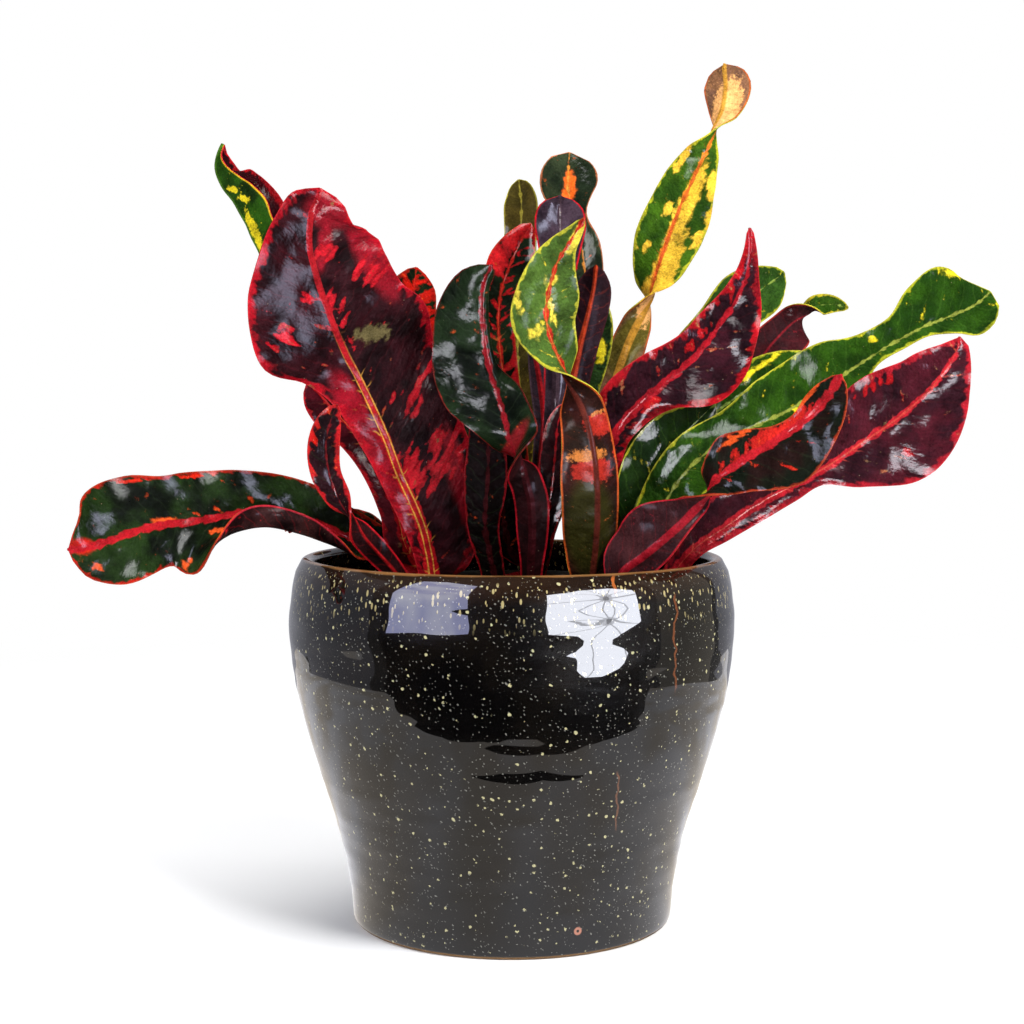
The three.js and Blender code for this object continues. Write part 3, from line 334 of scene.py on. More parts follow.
        (111, 156, -36, 13, 11), (120, 162.4, -36, 16, 18), (128, 168, -36, 17, 20),
        (135.6, 174, -36, 15.6, 18.4), (141.4, 179.6, -36, 13, 14.4), (146, 185.4, -36, 10.6, 9),
        (149, 190.6, -36, 7, 5.4), (150.4, 194.4, -36, 3.6, 3), (150.8, 196.6, -36, 1.5, 1.5),
    ]),
    "leaf_right_twisted": dict(stem="right", at=104.5, lean=-16, turn=12, fold=5, wave=0.7, rows=[
        (35, 112, -30.5, 4, 3.4, 180), (38.6, 118, -34.5, 5, 10, 180), (44, 122, -36, 6, 13, 180),
        (50.6, 127.4, -38, 5.4, 14, 180), (57, 133, -40, 3.6, 10.6, 180), (62, 138.4, -41, 3, 6, 170),
        (65.6, 143.6, -42, 4, 4.4, 90), (69, 148.6, -43, 6.4, 6.4, 10), (75, 153, -44, 10.4, 9.4),
        (82, 157.6, -44, 8.4, 13.6), (90, 162.6, -44, 4.4, 16), (97, 167.4, -44, 3.6, 14),
        (103, 172.6, -44, 5.4, 10.4), (107.6, 178.4, -44, 4.6, 6.4), (110.8, 184, -44, 1.4, 1.6),
    ]),
    "leaf_right_round_green": dict(stem="right", at=129, lean=16, turn=-14, fold=7, wave=0.6, rows=[
        (40, 148, 0, 5, 5), (48, 166, -2, 7, 7), (59, 186, -3, 9, 8), (69, 199.6, -4, 8.6, 8),
        (78, 208.4, -4, 10.6, 8.6), (85.6, 214, -4, 7.4, 8), (91.4, 218.4, -4, 1.8, 2),
    ]),
    "leaf_right_curl": dict(stem="right", at=135.5, lean=24, turn=10, fold=7, wave=0.4, rows=[
        (50, 152, 10, 5, 5, 180), (66, 170, 9, 6.4, 6.4, 180), (79, 183, 7, 7.4, 7.4, 180),
        (88, 194.6, 6, 9, 7.4, 180), (94, 201, 6, 8.6, 6, 172), (98.4, 205, 6, 4.6, 4.6, 90),
        (103, 207.2, 6, 4, 3.8, 15), (108, 207.6, 6, 3, 2.8), (113, 206.4, 6, 0.9, 0.9),
    ]),
}

# The leaves at the back: cutting, height of the stalk, the way it points (90 is straight back),
# how far it reaches, how high it rises, its half width and its twist at the tip.
BACK_LEAVES = [
    ("left", 112, 142, 70, 24, 12, 20), ("left", 117, 112, 78, 50, 13, -30),
    ("left", 133, 128, 40, 84, 13, 25), ("left", 112, 88, 84, 32, 12, 35),
    ("centre", 111, 92, 92, 38, 13, -25), ("centre", 122, 118, 56, 62, 11, 30),
    ("centre", 126, 72, 62, 56, 12, -35), ("right", 112, 88, 78, 46, 12, 30),
    ("right", 118, 57, 84, 34, 12, -20), ("right", 108, 36, 68, 40, 11, 15),
    ("right", 124, 68, 44, 60, 11, 30),
]
# A back leaf's outline is how wide it is at each share of its length. It arches up and droops.
BACK_OUTLINE = [
    (0.2, 0.3), (0.36, 0.72), (0.54, 1), (0.72, 0.94), (0.88, 0.66), (0.97, 0.34), (1, 0.12),
]
BACK_ARCH = 1.7
BACK_DROOP = 0.12
BACK_FOLD = 10
BACK_WAVE = 0.8
BACK_COLUMNS = 7
BACK_SEED = 40

# The coats of colour that a croton leaf wears. Upper side: base and second are the ground,
# blotch its ragged blotches and share how many there are, margin and lip the coloured border and
# its very edge, edge how far in the border reaches in mm, rib the midrib and rib_wide its half
# width at the foot and at the tip, line the thin lines on the midrib and line_wide their half
# width, vein the side veins and glow the spots. Underside: under and under_second are the ground,
# under_rib and under_edge the rib and the border.
# Some leaves also have: coat and gloss, how strong and how soft the shine is (under_coat below);
# groove and core, a pair of lines that far from the midrib's middle and the colour between them;
# wash, an even tint; flush_share, how thickly the flush marks are filled; and on the underside
# under_flush, under_glow and under_wash, the colours of the three kinds of mark.
MAROON = dict(
    base="#2a0d12", second="#150709", blotch="#a01016", share=0.12, margin="#9c0e18", edge=1.4,
    lip="#b02028", rib="#a0121a", rib_wide=(1.9, 0.5), line="#c8763a", line_wide=0.25, vein="#4a1218",
    glow="#a08458", under="#2a1012", under_second="#17090b", under_rib="#801418", under_edge="#8c0e18",
)
BLACK_GREEN = dict(
    base="#090f07", second="#13200e", blotch="#a4140c", share=0.06, margin="#96120c", edge=0.8,
    lip="#9c3c20", rib="#a01a12", rib_wide=(1.5, 0.4), line="#c8803a", line_wide=0.2, vein="#26301f",
    glow="#c84a1c", under="#260e10", under_second="#150809", under_rib="#901216", under_edge="#960f18",
)
GREEN = dict(
    base="#17300a", second="#25440d", blotch="#a8a024", share=0.02, margin="#8f9420", edge=0.8,
    lip="#a8a034", rib="#74883a", rib_wide=(0.9, 0.2), line="#a8b060", line_wide=0.2, vein="#3c5c1c",
    glow="#d8c424", under="#5e5222", under_second="#464420", under_rib="#8c7434", under_edge="#94843a",
)
# A coat for the leaves deep inside the plant: BLACK_GREEN painted darker all over (ground, margin, rib and
# lip) as painted shade for the shade they sit in, and without a clear coat.
PAINTED_SHADE_COAT = dict(
    BLACK_GREEN, base="#0e0607", second="#080504", share=0.0, margin="#6c0a10", edge=0.6, rib="#30090c",
    lip="#7c1018", line_wide=0.0, coat=0.0,
)


def coat(ground, *marks, **changes):
    """A leaf's own coat: a ground coat with its changes, and marks of colour placed as seen
    from the front. A mark is the kind, x, z, its half length, its half width and its slant."""
    return dict(ground, marks=marks, **changes)


COATS = {
    "leaf_left_paddle": coat(
        MAROON, ("flush", -27, 155, 14, 9, 40), ("flush", -33, 173, 7, 2.4, 80),
        ("flush", -38, 177, 3, 2, 0), ("flush", -70, 209, 4, 2.4, 0), ("flush", -62, 225, 4, 4, 0),
        ("flush", -48, 219, 6, 5, 0), ("flush", -76, 196, 7, 3, 0), ("flush", -58, 202, 12, 3, 110),
        ("flush", -27, 188, 8, 2, 60), ("wash", -17, 147, 20, 3.4, 106), ("wash", -47, 158, 28, 5, 118),
        ("wash", -59, 240, 10, 7, 0), ("wash", -47, 224, 16, 5, 118), ("wash", -54, 176, 10, 3, 118),
        ("wash", -63, 228, 10, 2, 80), ("glow", -47, 198, 6, 2.2, 0), share=0.1, edge=2.6,
        rib_wide=(3.0, -0.5), line="#c8923c", line_wide=0.2, glow="#5e5434", margin="#980c1a",
        blotch="#a8121e", wash="#7c0f1c", groove=1.1, core="#98141c", coat=0.2, gloss=0.13,
    ),
    "leaf_left_curl": coat(
        MAROON, ("flush", -88, 228, 16, 2.4, 122), ("flush", -93, 246, 10, 1.6, 118),
        ("flush", -80, 214, 12, 3, 125), ("glow", -93, 246, 1.6, 1, 0), ("glow", -89.5, 243, 1.8, 1.2, 0),
        ("glow", -85.5, 231, 9, 1.3, 112), margin="#a01018", edge=2.2, base="#380a10", second="#240a0e",
        under="#14280a", under_second="#24480c", under_edge="#c8a41c", under_rib="#3c5c1c",
        under_flush="#1c380c", under_glow="#c8b41c",
    ),
    "leaf_left_back_tip": coat(
        BLACK_GREEN, ("flush", -31, 212, 7, 4, 0), ("flush", -28, 202, 6, 3, 90), edge=1.6, share=0.2,
    ),
    "leaf_left_maroon": coat(MAROON, share=0.0, base="#480f18", second="#300a10", edge=1.2),
    "leaf_left_narrow": coat(
        BLACK_GREEN, ("flush", -68, 158, 16, 2.2, 80), edge=1.2, share=0.03, base="#16070a",
        second="#200b10", rib="#5c1014", rib_wide=(0.6, 0.3), line_wide=0.0, margin="#a8141a",
        lip="#a8201c",
    ),
    "leaf_left_long": coat(
        BLACK_GREEN, ("wash", -146, 126, 4.4, 2.8, 0), ("glow", -110, 120, 2, 1, 60),
        ("glow", -141, 119, 1.6, 1, 0), ("flush", -112, 150, 9, 0.9, 0), ("flush", -128, 148.6, 8, 1, 10),
        ("glow", -118, 134, 4, 1.6, 10), ("glow", -100, 131, 3, 1, 10), share=0.02, edge=1.1,
        rib_wide=(1.5, 1.3), base="#0a0f08", second="#1a2a10", blotch="#b8200f", rib="#98141c",
        line_wide=0.0, wash="#a81a14", under="#341a1a", under_rib="#a8161e", under_edge="#a82430",
        flush_share=0.4, gloss=0.12,
    ),
    "leaf_centre_dark": coat(
        BLACK_GREEN, ("wash", -1, 158, 12, 2.4, 60), ("wash", -14, 229, 9, 3.4, 50), base="#070c07",
        second="#142010", share=0.0, edge=0.35, lip="#4c1810", coat=0.17, gloss=0.11, rib="#741018",
        rib_wide=(1.4, 0.7), line_wide=0.0, vein="#2c3626", under="#240d0f", under_rib="#300c10",
        under_edge="#98101c", blotch="#7c1220", margin="#6c1418",
    ),
    "leaf_centre_mottled": coat(
        BLACK_GREEN, ("flush", -5, 222, 12, 3, 60), ("flush", 2, 232, 8, 3, 40),
        ("flush", 4, 190, 24, 3, 90), share=0.34, blotch="#a41418", edge=1.4, margin="#a81218",
        lip="#b83c20", glow="#c8501c",
    ),
    "leaf_centre_olive": coat(
        GREEN, base="#4c4018", second="#3c3414", share=0.0, margin="#8c7c26", edge=0.5, rib="#988c34",
        rib_wide=(0.7, 0.4), vein="#5c5020",
    ),
    "leaf_centre_corkscrew": coat(
        GREEN, ("glow", 7.6, 198, 2.4, 2, 0), ("glow", 14, 216, 1.6, 1.2, 40),
        ("glow", 22, 231, 7, 1.8, 60), ("glow", 13, 207, 8, 0.8, 105), ("glow", 2, 209, 5, 0.8, 100),
        ("glow", 25, 157, 7, 2, 8), ("glow", 31, 172, 5, 1.2, 20), ("wash", 26, 133, 16, 8, 90),
        ("flush", 30, 168, 6, 4, 20), ("flush", 27, 152, 7, 4, 8), ("flush", 36, 160, 9, 2, 95),
        rib="#a82418", rib_wide=(1.1, 0.7), line="#d8b44a", line_wide=0.15, edge=0.9, margin="#a8a42c",
        base="#33471a", second="#435c24", glow="#ccb83e", coat=0.15, under="#280f0c",
        under_second="#1c110b", under_rib="#4c1c14", under_edge="#a8481c", under_flush="#96241a",
        under_glow="#a8642c", under_wash="#28260c",
    ),
    "leaf_centre_hood": coat(
        MAROON, under="#3a2c36", under_second="#221820", under_rib="#3c2c34", under_edge="#a8101c",
        under_coat=0.5,
    ),
    "leaf_centre_round": coat(
        BLACK_GREEN, ("glow", 19, 246, 5.5, 2.2, 90), ("flush", 21, 227, 7, 1.6, 95), base="#161e13",
        second="#28301f", glow="#d0581c", margin="#88482c", lip="#a86c48", edge=0.5, share=-0.04,
        rib="#b8742c", rib_wide=(0.7, 0.35), line="#e0b850",
    ),
    "leaf_centre_purple": coat(
        MAROON, under_coat=0.03, under="#200f14", under_second="#180d11", under_rib="#943018",
        under_edge="#301418",
    ),
    "leaf_centre_green": coat(GREEN, ("glow", 30, 192, 4, 1.6, 90), base="#1c3014", second="#162810"),
    "leaf_tall_corkscrew": coat(
        GREEN, ("glow", 50, 216, 17, 3.8, 66), ("glow", 58, 239, 15, 2.6, 66),
        ("glow", 46, 208, 9, 3.2, 70), ("glow", 67, 247, 5, 1.5, 85), ("glow", 67, 236, 4, 1.5, 80),
        ("glow", 62, 229, 3, 1.4, 60), ("glow", 57, 256, 6, 1.0, 60), ("glow", 52, 239, 2.4, 1.3, 60),
        ("glow", 45, 227, 2, 0.9, 70), ("flush", 72, 273, 10, 4.4, 76), ("wash", 40, 196, 14, 5, 60),
        glow="#e2b436", blotch="#a8541c", share=0.0, margin="#a8a826", edge=1.0, rib="#c87424",
        rib_wide=(1.6, 0.7), line="#c43c22", line_wide=0.55, under="#6a4a38", under_second="#80583c",
        under_rib="#b88430", under_edge="#a8542a", under_flush="#e0a464", under_wash="#5e5420",
        wash="#34540f", base="#244010", second="#3a5c12",
    ),
    "leaf_right_red": coat(
        MAROON, ("flush", 76, 220, 12, 1.6, 75), ("flush", 62, 196, 6, 1.6, 50),
        ("flush", 48, 176, 7, 2, 50), rib_wide=(2.4, 0.6), line_wide=0.0, share=0.08, edge=2.1,
        base="#301019", second="#1c0c12", rib="#98141f",
    ),
    "leaf_centre_maroon": coat(MAROON, share=0.03, edge=0.8, rib_wide=(0.8, 0.3), line_wide=0.0),
    "leaf_centre_grey": coat(MAROON, under="#342830", under_second="#281e24", under_edge="#4c3a42"),
    # The two leaves deep in the middle wear the coat that is painted darker as painted shade.
    "leaf_centre_shade": coat(PAINTED_SHADE_COAT),
    "leaf_centre_inner": coat(PAINTED_SHADE_COAT, edge=0.4),
    "leaf_right_long_green": coat(
        GREEN, ("glow", 121, 196, 1.4, 1.2, 0), ("glow", 151, 218, 6, 1.3, 0),
        ("glow", 128, 185, 16, 1.6, 30), ("glow", 96, 172, 1.3, 1.1, 0), rib_wide=(0.7, 0.5), edge=0.8,
        share=0.0, rib="#7c8434",
    ),
    "leaf_right_green": coat(GREEN, base="#10220a", second="#182c0c", edge=0.7, rib_wide=(0.7, 0.2)),
    "leaf_right_yellow_edged": coat(GREEN, ("glow", 84, 187, 10, 0.8, 35), edge=1.1, share=0.03),
    "leaf_far_right_red": coat(
        MAROON, ("flush", 134, 158, 2, 1.8, 0), ("flush", 84, 134, 12, 3, 35),
        ("flush", 66, 124, 9, 2.4, 45), ("flush", 122, 180, 10, 1.6, 30), rib_wide=(2.2, 0.8),
        line="#b84438", line_wide=0.3, edge=2.0, share=0.07, base="#42121c", second="#2a0f17",
        margin="#9c1824", rib="#a81c26",
    ),
    "leaf_right_twisted": coat(
        BLACK_GREEN, ("flush", 82, 160, 13, 3.2, 30), ("flush", 96, 170, 8, 2.4, 40),
        ("glow", 76, 163, 7, 0.8, 35), ("glow", 99, 176, 6, 0.8, 50), base="#0d120b", second="#1c0f0d",
        share=0.12, rib_wide=(1.0, 1.5), line_wide=0.0, edge=0.7, margin="#8c2818", under="#3a1b1d",
        under_second="#2b1518", under_rib="#8c1420", under_edge="#9c1824", blotch="#a81c16",
        rib="#a01820",
    ),
    "leaf_right_round_green": coat(GREEN, edge=0.8, base="#213a12", second="#2c4a18"),
    "leaf_right_curl": coat(
        GREEN, base="#284010", margin="#a89824", under="#2c171a", under_second="#381418",
        under_rib="#741820", under_edge="#8c2420",
    ),
}
BACK_COATS = [
    coat(BLACK_GREEN, share=0.12), coat(MAROON), coat(GREEN, base="#152808"), coat(MAROON, share=0.1),
    coat(GREEN), coat(BLACK_GREEN, edge=1.4), coat(MAROON, share=0.24), coat(GREEN, share=0.08),
    coat(MAROON), coat(BLACK_GREEN, share=0.2), coat(MAROON, base="#200d12"),
]


# Colours and materials

def paint(colour):
    """The linear colour of a paint chip written as on screen."""
    chip = [int(colour[i:i + 2], 16) / 255 for i in (1, 3, 5)]
    return tuple(c / 12.92 if c <= 0.04045 else ((c + 0.055) / 1.055) ** 2.4 for c in chip) + (1.0,)


class Value:
    """A node's output, to be reckoned with like a number."""

    def __init__(self, finish, socket):
        self.finish = finish
        self.socket = socket

    def __add__(self, other):
        return self.finish.sum("ADD", self, other)

    def __sub__(self, other):
        return self.finish.sum("SUBTRACT", self, other)

    def __rsub__(self, other):
        return self.finish.sum("SUBTRACT", other, self)

    def __mul__(self, other):
        return self.finish.sum("MULTIPLY", self, other)

    def __abs__(self):
        return self.finish.sum("ABSOLUTE", self)

    def most(self, other):
        return self.finish.sum("MAXIMUM", self, other)

    def step(self, low, high):
        """0 below low, 1 above high and a soft step between."""
        values = {"Value": self, "From Min": low, "From Max": high}
        return self.finish.add("MapRange", values, "Result", interpolation_type="SMOOTHSTEP")

    def fall(self, low, high):
        """1 below low, 0 above high and a soft step between."""
        return 1.0 - self.step(low, high)


class Finish:
    """A material under way, with short names for the nodes that it needs."""

    def __init__(self, name, roughness, coat=0.0, coat_roughness=0.1, specular=0.5):
        self.material = bpy.data.materials.new(name)
        self.material.use_nodes = True
        self.nodes = self.material.node_tree.nodes
        self.shader = self.nodes["Principled BSDF"]
        self.shader.inputs["Roughness"].default_value = roughness
        self.shader.inputs["Coat Weight"].default_value = coat
        self.shader.inputs["Coat Roughness"].default_value = coat_roughness
        self.shader.inputs["Specular IOR Level"].default_value = specular

    def feed(self, socket, value):
        """Links a node's output, or sets a plain value."""
        if isinstance(value, Value):
            self.material.node_tree.links.new(value.socket, socket)
        else:
            socket.default_value = value

    def add(self, kind, values, *outputs, **settings):
        """What a new node puts out, its first value or those named. Its inputs are fed by their
        name or number."""
        node = self.nodes.new("ShaderNode" + kind)
        for setting, value in settings.items():
            setattr(node, setting, value)
        for socket, value in values.items():
            self.feed(node.inputs[socket], value)
        found = [Value(self, node.outputs[output]) for output in outputs or (0,)]
        return found if len(found) > 1 else found[0]

    def sum(self, operation, a, b=0.0):
        return self.add("Math", {0: a, 1: b}, operation=operation)

    def read(self, attribute):
        return self.add("Attribute", {}, "Fac", attribute_name=attribute)

    def place(self):
        return self.add("TexCoord", {}, "Object")

    def apart(self, vector):
        """The three numbers of a place, or of a cell's own random values."""
        return self.add("SeparateXYZ", {0: vector}, "X", "Y", "Z")

    def joined(self, x, y, z):
        return self.add("CombineXYZ", {0: x, 1: y, 2: z})

    def distance(self, place, centre):
        return self.add("VectorMath", {0: place, 1: centre}, "Value", operation="DISTANCE")

    def cloud(self, vector, scale, detail=2.0, roughness=0.5):
        values = {"Vector": vector, "Scale": scale, "Detail": detail, "Roughness": roughness}
        return self.add("TexNoise", values, "Fac")

    def cells(self, vector, scale):
        """The distance from the middle of the nearest cell, and that cell's own random values."""
        away, own = self.add("TexVoronoi", {"Vector": vector, "Scale": scale}, "Distance", "Color")
        return away, self.apart(own)

    def blend(self, factor, first, second):
        return self.add("Mix", {"Factor": factor, "A": first, "B": second}, "Result", data_type="RGBA")

    def layer(self, colour, mask, chip):
        """The colour with paint over it, as thick as the mask."""
        return self.blend(mask, colour, paint(chip))

    def shaded(self, colour, value):
        """The colour made brighter or darker by a value round 1."""
        return self.add("VectorMath", {0: colour, "Scale": value}, "Vector", operation="SCALE")

    def relief(self, height, distance, socket="Normal"):
        """Small relief of this height in metres for a height of 1."""
        self.set(socket, self.add("Bump", {"Distance": distance, "Height": height}, "Normal"))

    def set(self, socket, value):
        self.feed(self.shader.inputs[socket], value)

    def colour(self, value):
        self.set("Base Color", value)

    def glow(self, colour, strength):
        self.set("Emission Color", colour)
        self.set("Emission Strength", strength)


class LeafFinish(Finish):
    """A leaf's finish knows its own measures in mm: away from the rib and along the side veins.
    Clouds are read at two places: flow, drawn out along the veins, and spread."""

    def __init__(self, name, roughness, coat, coat_roughness, specular, seed):
        super().__init__(name, roughness, coat, coat_roughness, specular)
        across = self.read("across")
        along = self.read("along")
        self.away = abs(across)
        self.edge = self.read("edge")
        self.rib_width = self.read("rib")
        slant = along - self.away * VEIN_SLANT
        self.flow = self.joined(across * 0.15, slant * 0.3, seed)
        self.spread = self.joined(across, along, seed)
        bent = self.cloud(self.spread, 0.14) * (2 * VEIN_WANDER) + slant
        self.veins = self.sum("PINGPONG", bent, VEIN_STEP / 2)

    def relief_of_leaf(self, depth):
        """Swells between the veins, puckers, wrinkles along the veins, and fine pebbles all over.
        The clear coat over them has the same relief, but shallower."""
        height = self.veins.step(0.0, VEIN_STEP / 2) * 0.22
        height = self.cloud(self.spread, 1.1, 3.0, 0.6) * 0.45 + height
        height = self.cloud(self.spread, 0.27, 2.5) * 2.6 + height
        height = self.cloud(self.flow, 1.9) + height
        self.relief(height, depth)
        self.relief(height, COAT_RELIEF * depth, "Coat Normal")

    def dusted(self, colour):
        """The colour with grain in it and a few pale pores."""
        grain = self.cloud(self.spread, 1.5, 3.0, 0.7)
        broad = self.cloud(self.spread, 0.16, 3.0, 0.6)
        tone = grain * 2.0 + (broad * 1.9 - 0.93)
        pores = dots(self, self.spread, 0.5, -0.12, 0.09)
        self.colour(self.layer(self.shaded(colour, tone.most(0.2)), pores * 0.45, "#a8957c"))

    def rib_lines(self, colour, wear, vein, patches):
        """The pair of grooves on a broad rib, or the one line, with twigs into the side veins."""
        groove = wear.get("groove", 0.0)
        if groove:
            core = self.away.fall(groove - 0.15, groove + 0.1)
            colour = self.layer(colour, core * 0.85, wear["core"])
        if wear["line_wide"] == 0:
            return colour
        wide = self.cloud(self.spread, 0.2) * (2 * wear["line_wide"])
        line = (abs(self.away - groove) - wide).fall(-0.1, 0.15)
        twig = self.away.fall(groove + 0.8, groove + 3.0) * patches.step(0.5, 0.56) * vein
        twig = twig * self.away.step(groove - 0.1, groove + 0.1)
        line = line.most(twig * 0.8) * self.rib_width.step(0.5, 1.3)
        return self.layer(colour, line * 0.85, wear["line"])


def leaf_skin(name, wear, seed):
    """The upper side: ground, veins, wash, blotches, margin, glow and rib, one over the other."""
    shine = (wear.get("coat", UPPER_SHINE), wear.get("gloss", UPPER_GLOSS))
    finish = LeafFinish(name + "_upper", 0.32, *shine, 0.025, seed)
    grain = finish.cloud(finish.spread, 0.55, 3.0, 0.6)
    coarse = grain - 0.5
    streaks = coarse * 0.35 + finish.cloud(finish.flow, 1.0, 1.2)
    loose = streaks - 0.5
    patches = finish.cloud(finish.spread, 0.09)
    colour = finish.blend(patches.step(0.38, 0.62), paint(wear["base"]), paint(wear["second"]))
    vein = finish.veins.fall(0.1, 0.45)
    colour = finish.layer(colour, vein * 0.2, wear["vein"])
    wash = finish.read("wash").step(0.1, 0.9)
    colour = finish.layer(colour, wash, wear.get("wash", wear["margin"]))
    reach = 0.73 - 0.5 * wear["share"]
    flush = finish.read("flush") * wear.get("flush_share", FLUSH_SHARE) + streaks
    bright = flush.step(reach + 0.04, reach + 0.16)
    tint = finish.shaded(paint(wear["blotch"])[:3], bright * 0.55 + 0.62)
    colour = finish.blend(flush.step(reach, reach + 0.05) * 0.95, colour, tint)
    margin = (finish.edge - loose * (3.6 * wear["edge"])).fall(0.45 * wear["edge"], 1.15 * wear["edge"])
    worn = patches.step(0.35, 0.6) * 0.45 + 0.55
    colour = finish.layer(colour, margin * worn, wear["margin"])
    colour = finish.layer(colour, finish.edge.fall(0.15, 0.5) * 0.7, wear["lip"])
    marked = finish.read("glow")
    glow = coarse * 0.7 + loose * 1.5 + marked
    halo = glow.step(0.1, 0.5) * marked.step(0.0, 0.15)
    colour = finish.layer(colour, halo * 0.35, wear["glow"])
    colour = finish.layer(colour, glow.step(0.3, 0.7), wear["glow"])
    rib = loose * 2.4 + finish.away - finish.rib_width
    colour = finish.layer(colour, rib.fall(-0.3, 0.25), wear["rib"])
    finish.dusted(finish.rib_lines(colour, wear, vein, patches))
    finish.set("Roughness", grain * 0.25 + 0.25)
    finish.relief_of_leaf(UPPER_RELIEF)
    return finish.material


def leaf_underside(name, wear, seed):
    """The duller underside with its raised rib."""
    finish = LeafFinish(name + "_under", 0.42, wear.get("under_coat", UNDER_SHINE), 0.14, 0.035, seed + 31)
    ground = finish.cloud(finish.spread, 0.11, 3.0).step(0.4, 0.62)
    colour = finish.blend(ground, paint(wear["under"]), paint(wear["under_second"]))
    colour = finish.layer(colour, finish.veins.fall(0.1, 0.4) * 0.1, wear["under_rib"])
    warm = wear.get("under_flush", wear["under_rib"])
    wash = finish.read("wash").step(0.1, 0.9)
    colour = finish.layer(colour, wash, wear.get("under_wash", warm))
    drawn = finish.cloud(finish.flow, 1.0, 3.0, 0.6) - 0.5
    grain = finish.cloud(finish.spread, 0.8, 3.0, 0.65) - 0.5
    flush = grain * 1.6 + drawn * 1.2 + finish.read("flush")
    colour = finish.layer(colour, flush.step(0.25, 0.75), warm)
    glow = grain * 2.0 + drawn * 1.6 + finish.read("glow")
    colour = finish.layer(colour, glow.step(0.35, 0.85), wear.get("under_glow", warm))
    colour = finish.layer(colour, finish.edge.fall(0.3, 0.8), wear["under_edge"])
    rib = finish.away - finish.rib_width
    colour = finish.layer(colour, rib.fall(-0.4, 0.1), wear["under_rib"])
    finish.dusted(colour)
    finish.set("Roughness", finish.cloud(finish.spread, 0.6) * 0.25 + 0.28)
    finish.relief_of_leaf(UNDER_RELIEF)
    return finish.material


def dots(finish, place, scale, low, high):
    """Specks of glaze, a random size from low to high times their spacing."""
    away, own = finish.cells(place, scale)
    return (own[0] * (high - low) + low - away).step(-0.01, 0.03)


def streak(finish, x, y, z, line, low, high, half_width):
    """A thin run of colour down the front of the pot at x = line, from low to high."""
    wander = finish.cloud(finish.joined(0.0, 0.0, z), 130.0) - 0.5
    beside = abs(x - line + wander * (2 * STREAK_WANDER))
    width = finish.cloud(finish.joined(x, y, z), 900.0) * (2 * half_width)
    mask = (width - beside).step(-0.0001, 0.0002)
    mask = mask * z.step(low, low + 0.004) * z.fall(high - 0.002, high)
    return mask * finish.sum("LESS_THAN", y, 0.0)


def glaze():
    """Near-black glaze with pale specks, drips below the rim and a bare foot line."""
    finish = Finish("speckled_glaze", 0.35, 1.0, 0.015, 0.04)
    place = finish.place()
    x, y, z = finish.apart(place)
    broad = finish.cloud(place, 38.0, 4.0, 0.6)
    colour = finish.blend(broad.step(0.4, 0.68), paint("#030202"), paint("#0b0704"))
    warm = broad * 0.6 + z.step(*WARM_START)
    colour = finish.layer(colour, warm.step(0.85, 1.6), "#26170c")
    nudge = finish.cloud(place, 1100.0)
    shaken = finish.joined(nudge * 0.0013 + x, y, z - nudge * 0.0011)
    colour = finish.layer(colour, dots(finish, shaken, 900.0, 0.03, 0.26) * 0.5, "#8c8c84")
    bitten = finish.cloud(place, 900.0).step(0.34, 0.42)
    colour = finish.layer(colour, dots(finish, shaken, 400.0, -0.03, 0.23) * bitten * 0.85, "#b4ae84")
    drips = dots(finish, finish.joined(x, y, z * 0.35), 720.0, 0.1, 0.34)
    band = z.step(*DRIPS_START) * z.fall(*DRIPS_END)
    colour = finish.layer(colour, drips * band * 0.8, "#a89a6c")
    for line, low, high, half_width, chip in RUST_RUNS:
        colour = finish.layer(colour, streak(finish, x, y, z, line, low, high, half_width), chip)
    ring = abs(finish.distance(place, PINHOLE) - PINHOLE_RADIUS)
    colour = finish.layer(colour, ring.fall(0.0002, 0.0006), "#a8705c")
    rim = finish.cloud(place, 60.0) * 0.0012 + z
    colour = finish.layer(colour, rim.step(*RIM_LINE_START), "#7a5630")
    finish.colour(finish.layer(colour, z.fall(*FOOT_LINE_END), "#8a6a48"))
    middle, smooth_to, rough_from = (size * MM for size in SMOOTH_BAND)
    uneven = abs(z - middle).step(smooth_to, rough_from) * 0.95 + 0.05
    waves = finish.cloud(finish.joined(x * 0.4, y * 0.4, z), 150.0) - 0.5
    finish.relief(waves * uneven, 0.0005)
    return finish.material


def plastic():
    finish = Finish("black_plastic", 0.45)
    place = finish.place()
    scuffs = finish.cloud(place, 160.0, 4.0, 0.6)
    finish.colour(finish.blend(scuffs, paint("#1a1a19"), paint("#2b2a27")))
    finish.set("Roughness", scuffs * 0.3 + 0.32)
    finish.relief(finish.cloud(place, 900.0, 1.0), 0.00005)
    return finish.material


def peat():
    finish = Finish("peat", 0.95)
    place = finish.place()
    crumbs = finish.cloud(place, 420.0, 5.0, 0.7)
    colour = finish.blend(crumbs.step(0.35, 0.7), paint("#170f0a"), paint("#3d2a1c"))
    away, own = finish.cells(place, 260.0)
    grit = own[1].step(0.93, 0.95) * away.fall(0.3, 0.42)
    finish.colour(finish.layer(colour, grit, "#a89c88"))
    finish.relief(finish.cloud(place, 700.0, 4.0, 0.7), 0.0008)
    return finish.material


def bark():
    finish = Finish("croton_bark", 0.75)
    place = finish.place()
    x, y, z = finish.apart(place)
    fibres = finish.cloud(finish.joined(x, y, z * 0.2), 900.0, 4.0, 0.6)
    colour = finish.blend(fibres.step(0.35, 0.65), paint("#3a2c1c"), paint("#6a5a3e"))
    rings = finish.cloud(place, 300.0).step(0.55, 0.7)
    finish.colour(finish.layer(colour, rings, "#4c5a2c"))
    finish.relief(fibres, 0.0003)
    return finish.material


# Small tools for shaping

def pick(piece):
    bpy.ops.object.select_all(action="DESELECT")
    piece.select_set(True)
    bpy.context.view_layer.objects.active = piece


def edit_all():
    """Edit mode with the whole of the active piece picked."""
    bpy.ops.object.mode_set(mode="EDIT")
    bpy.ops.mesh.select_all(action="SELECT")


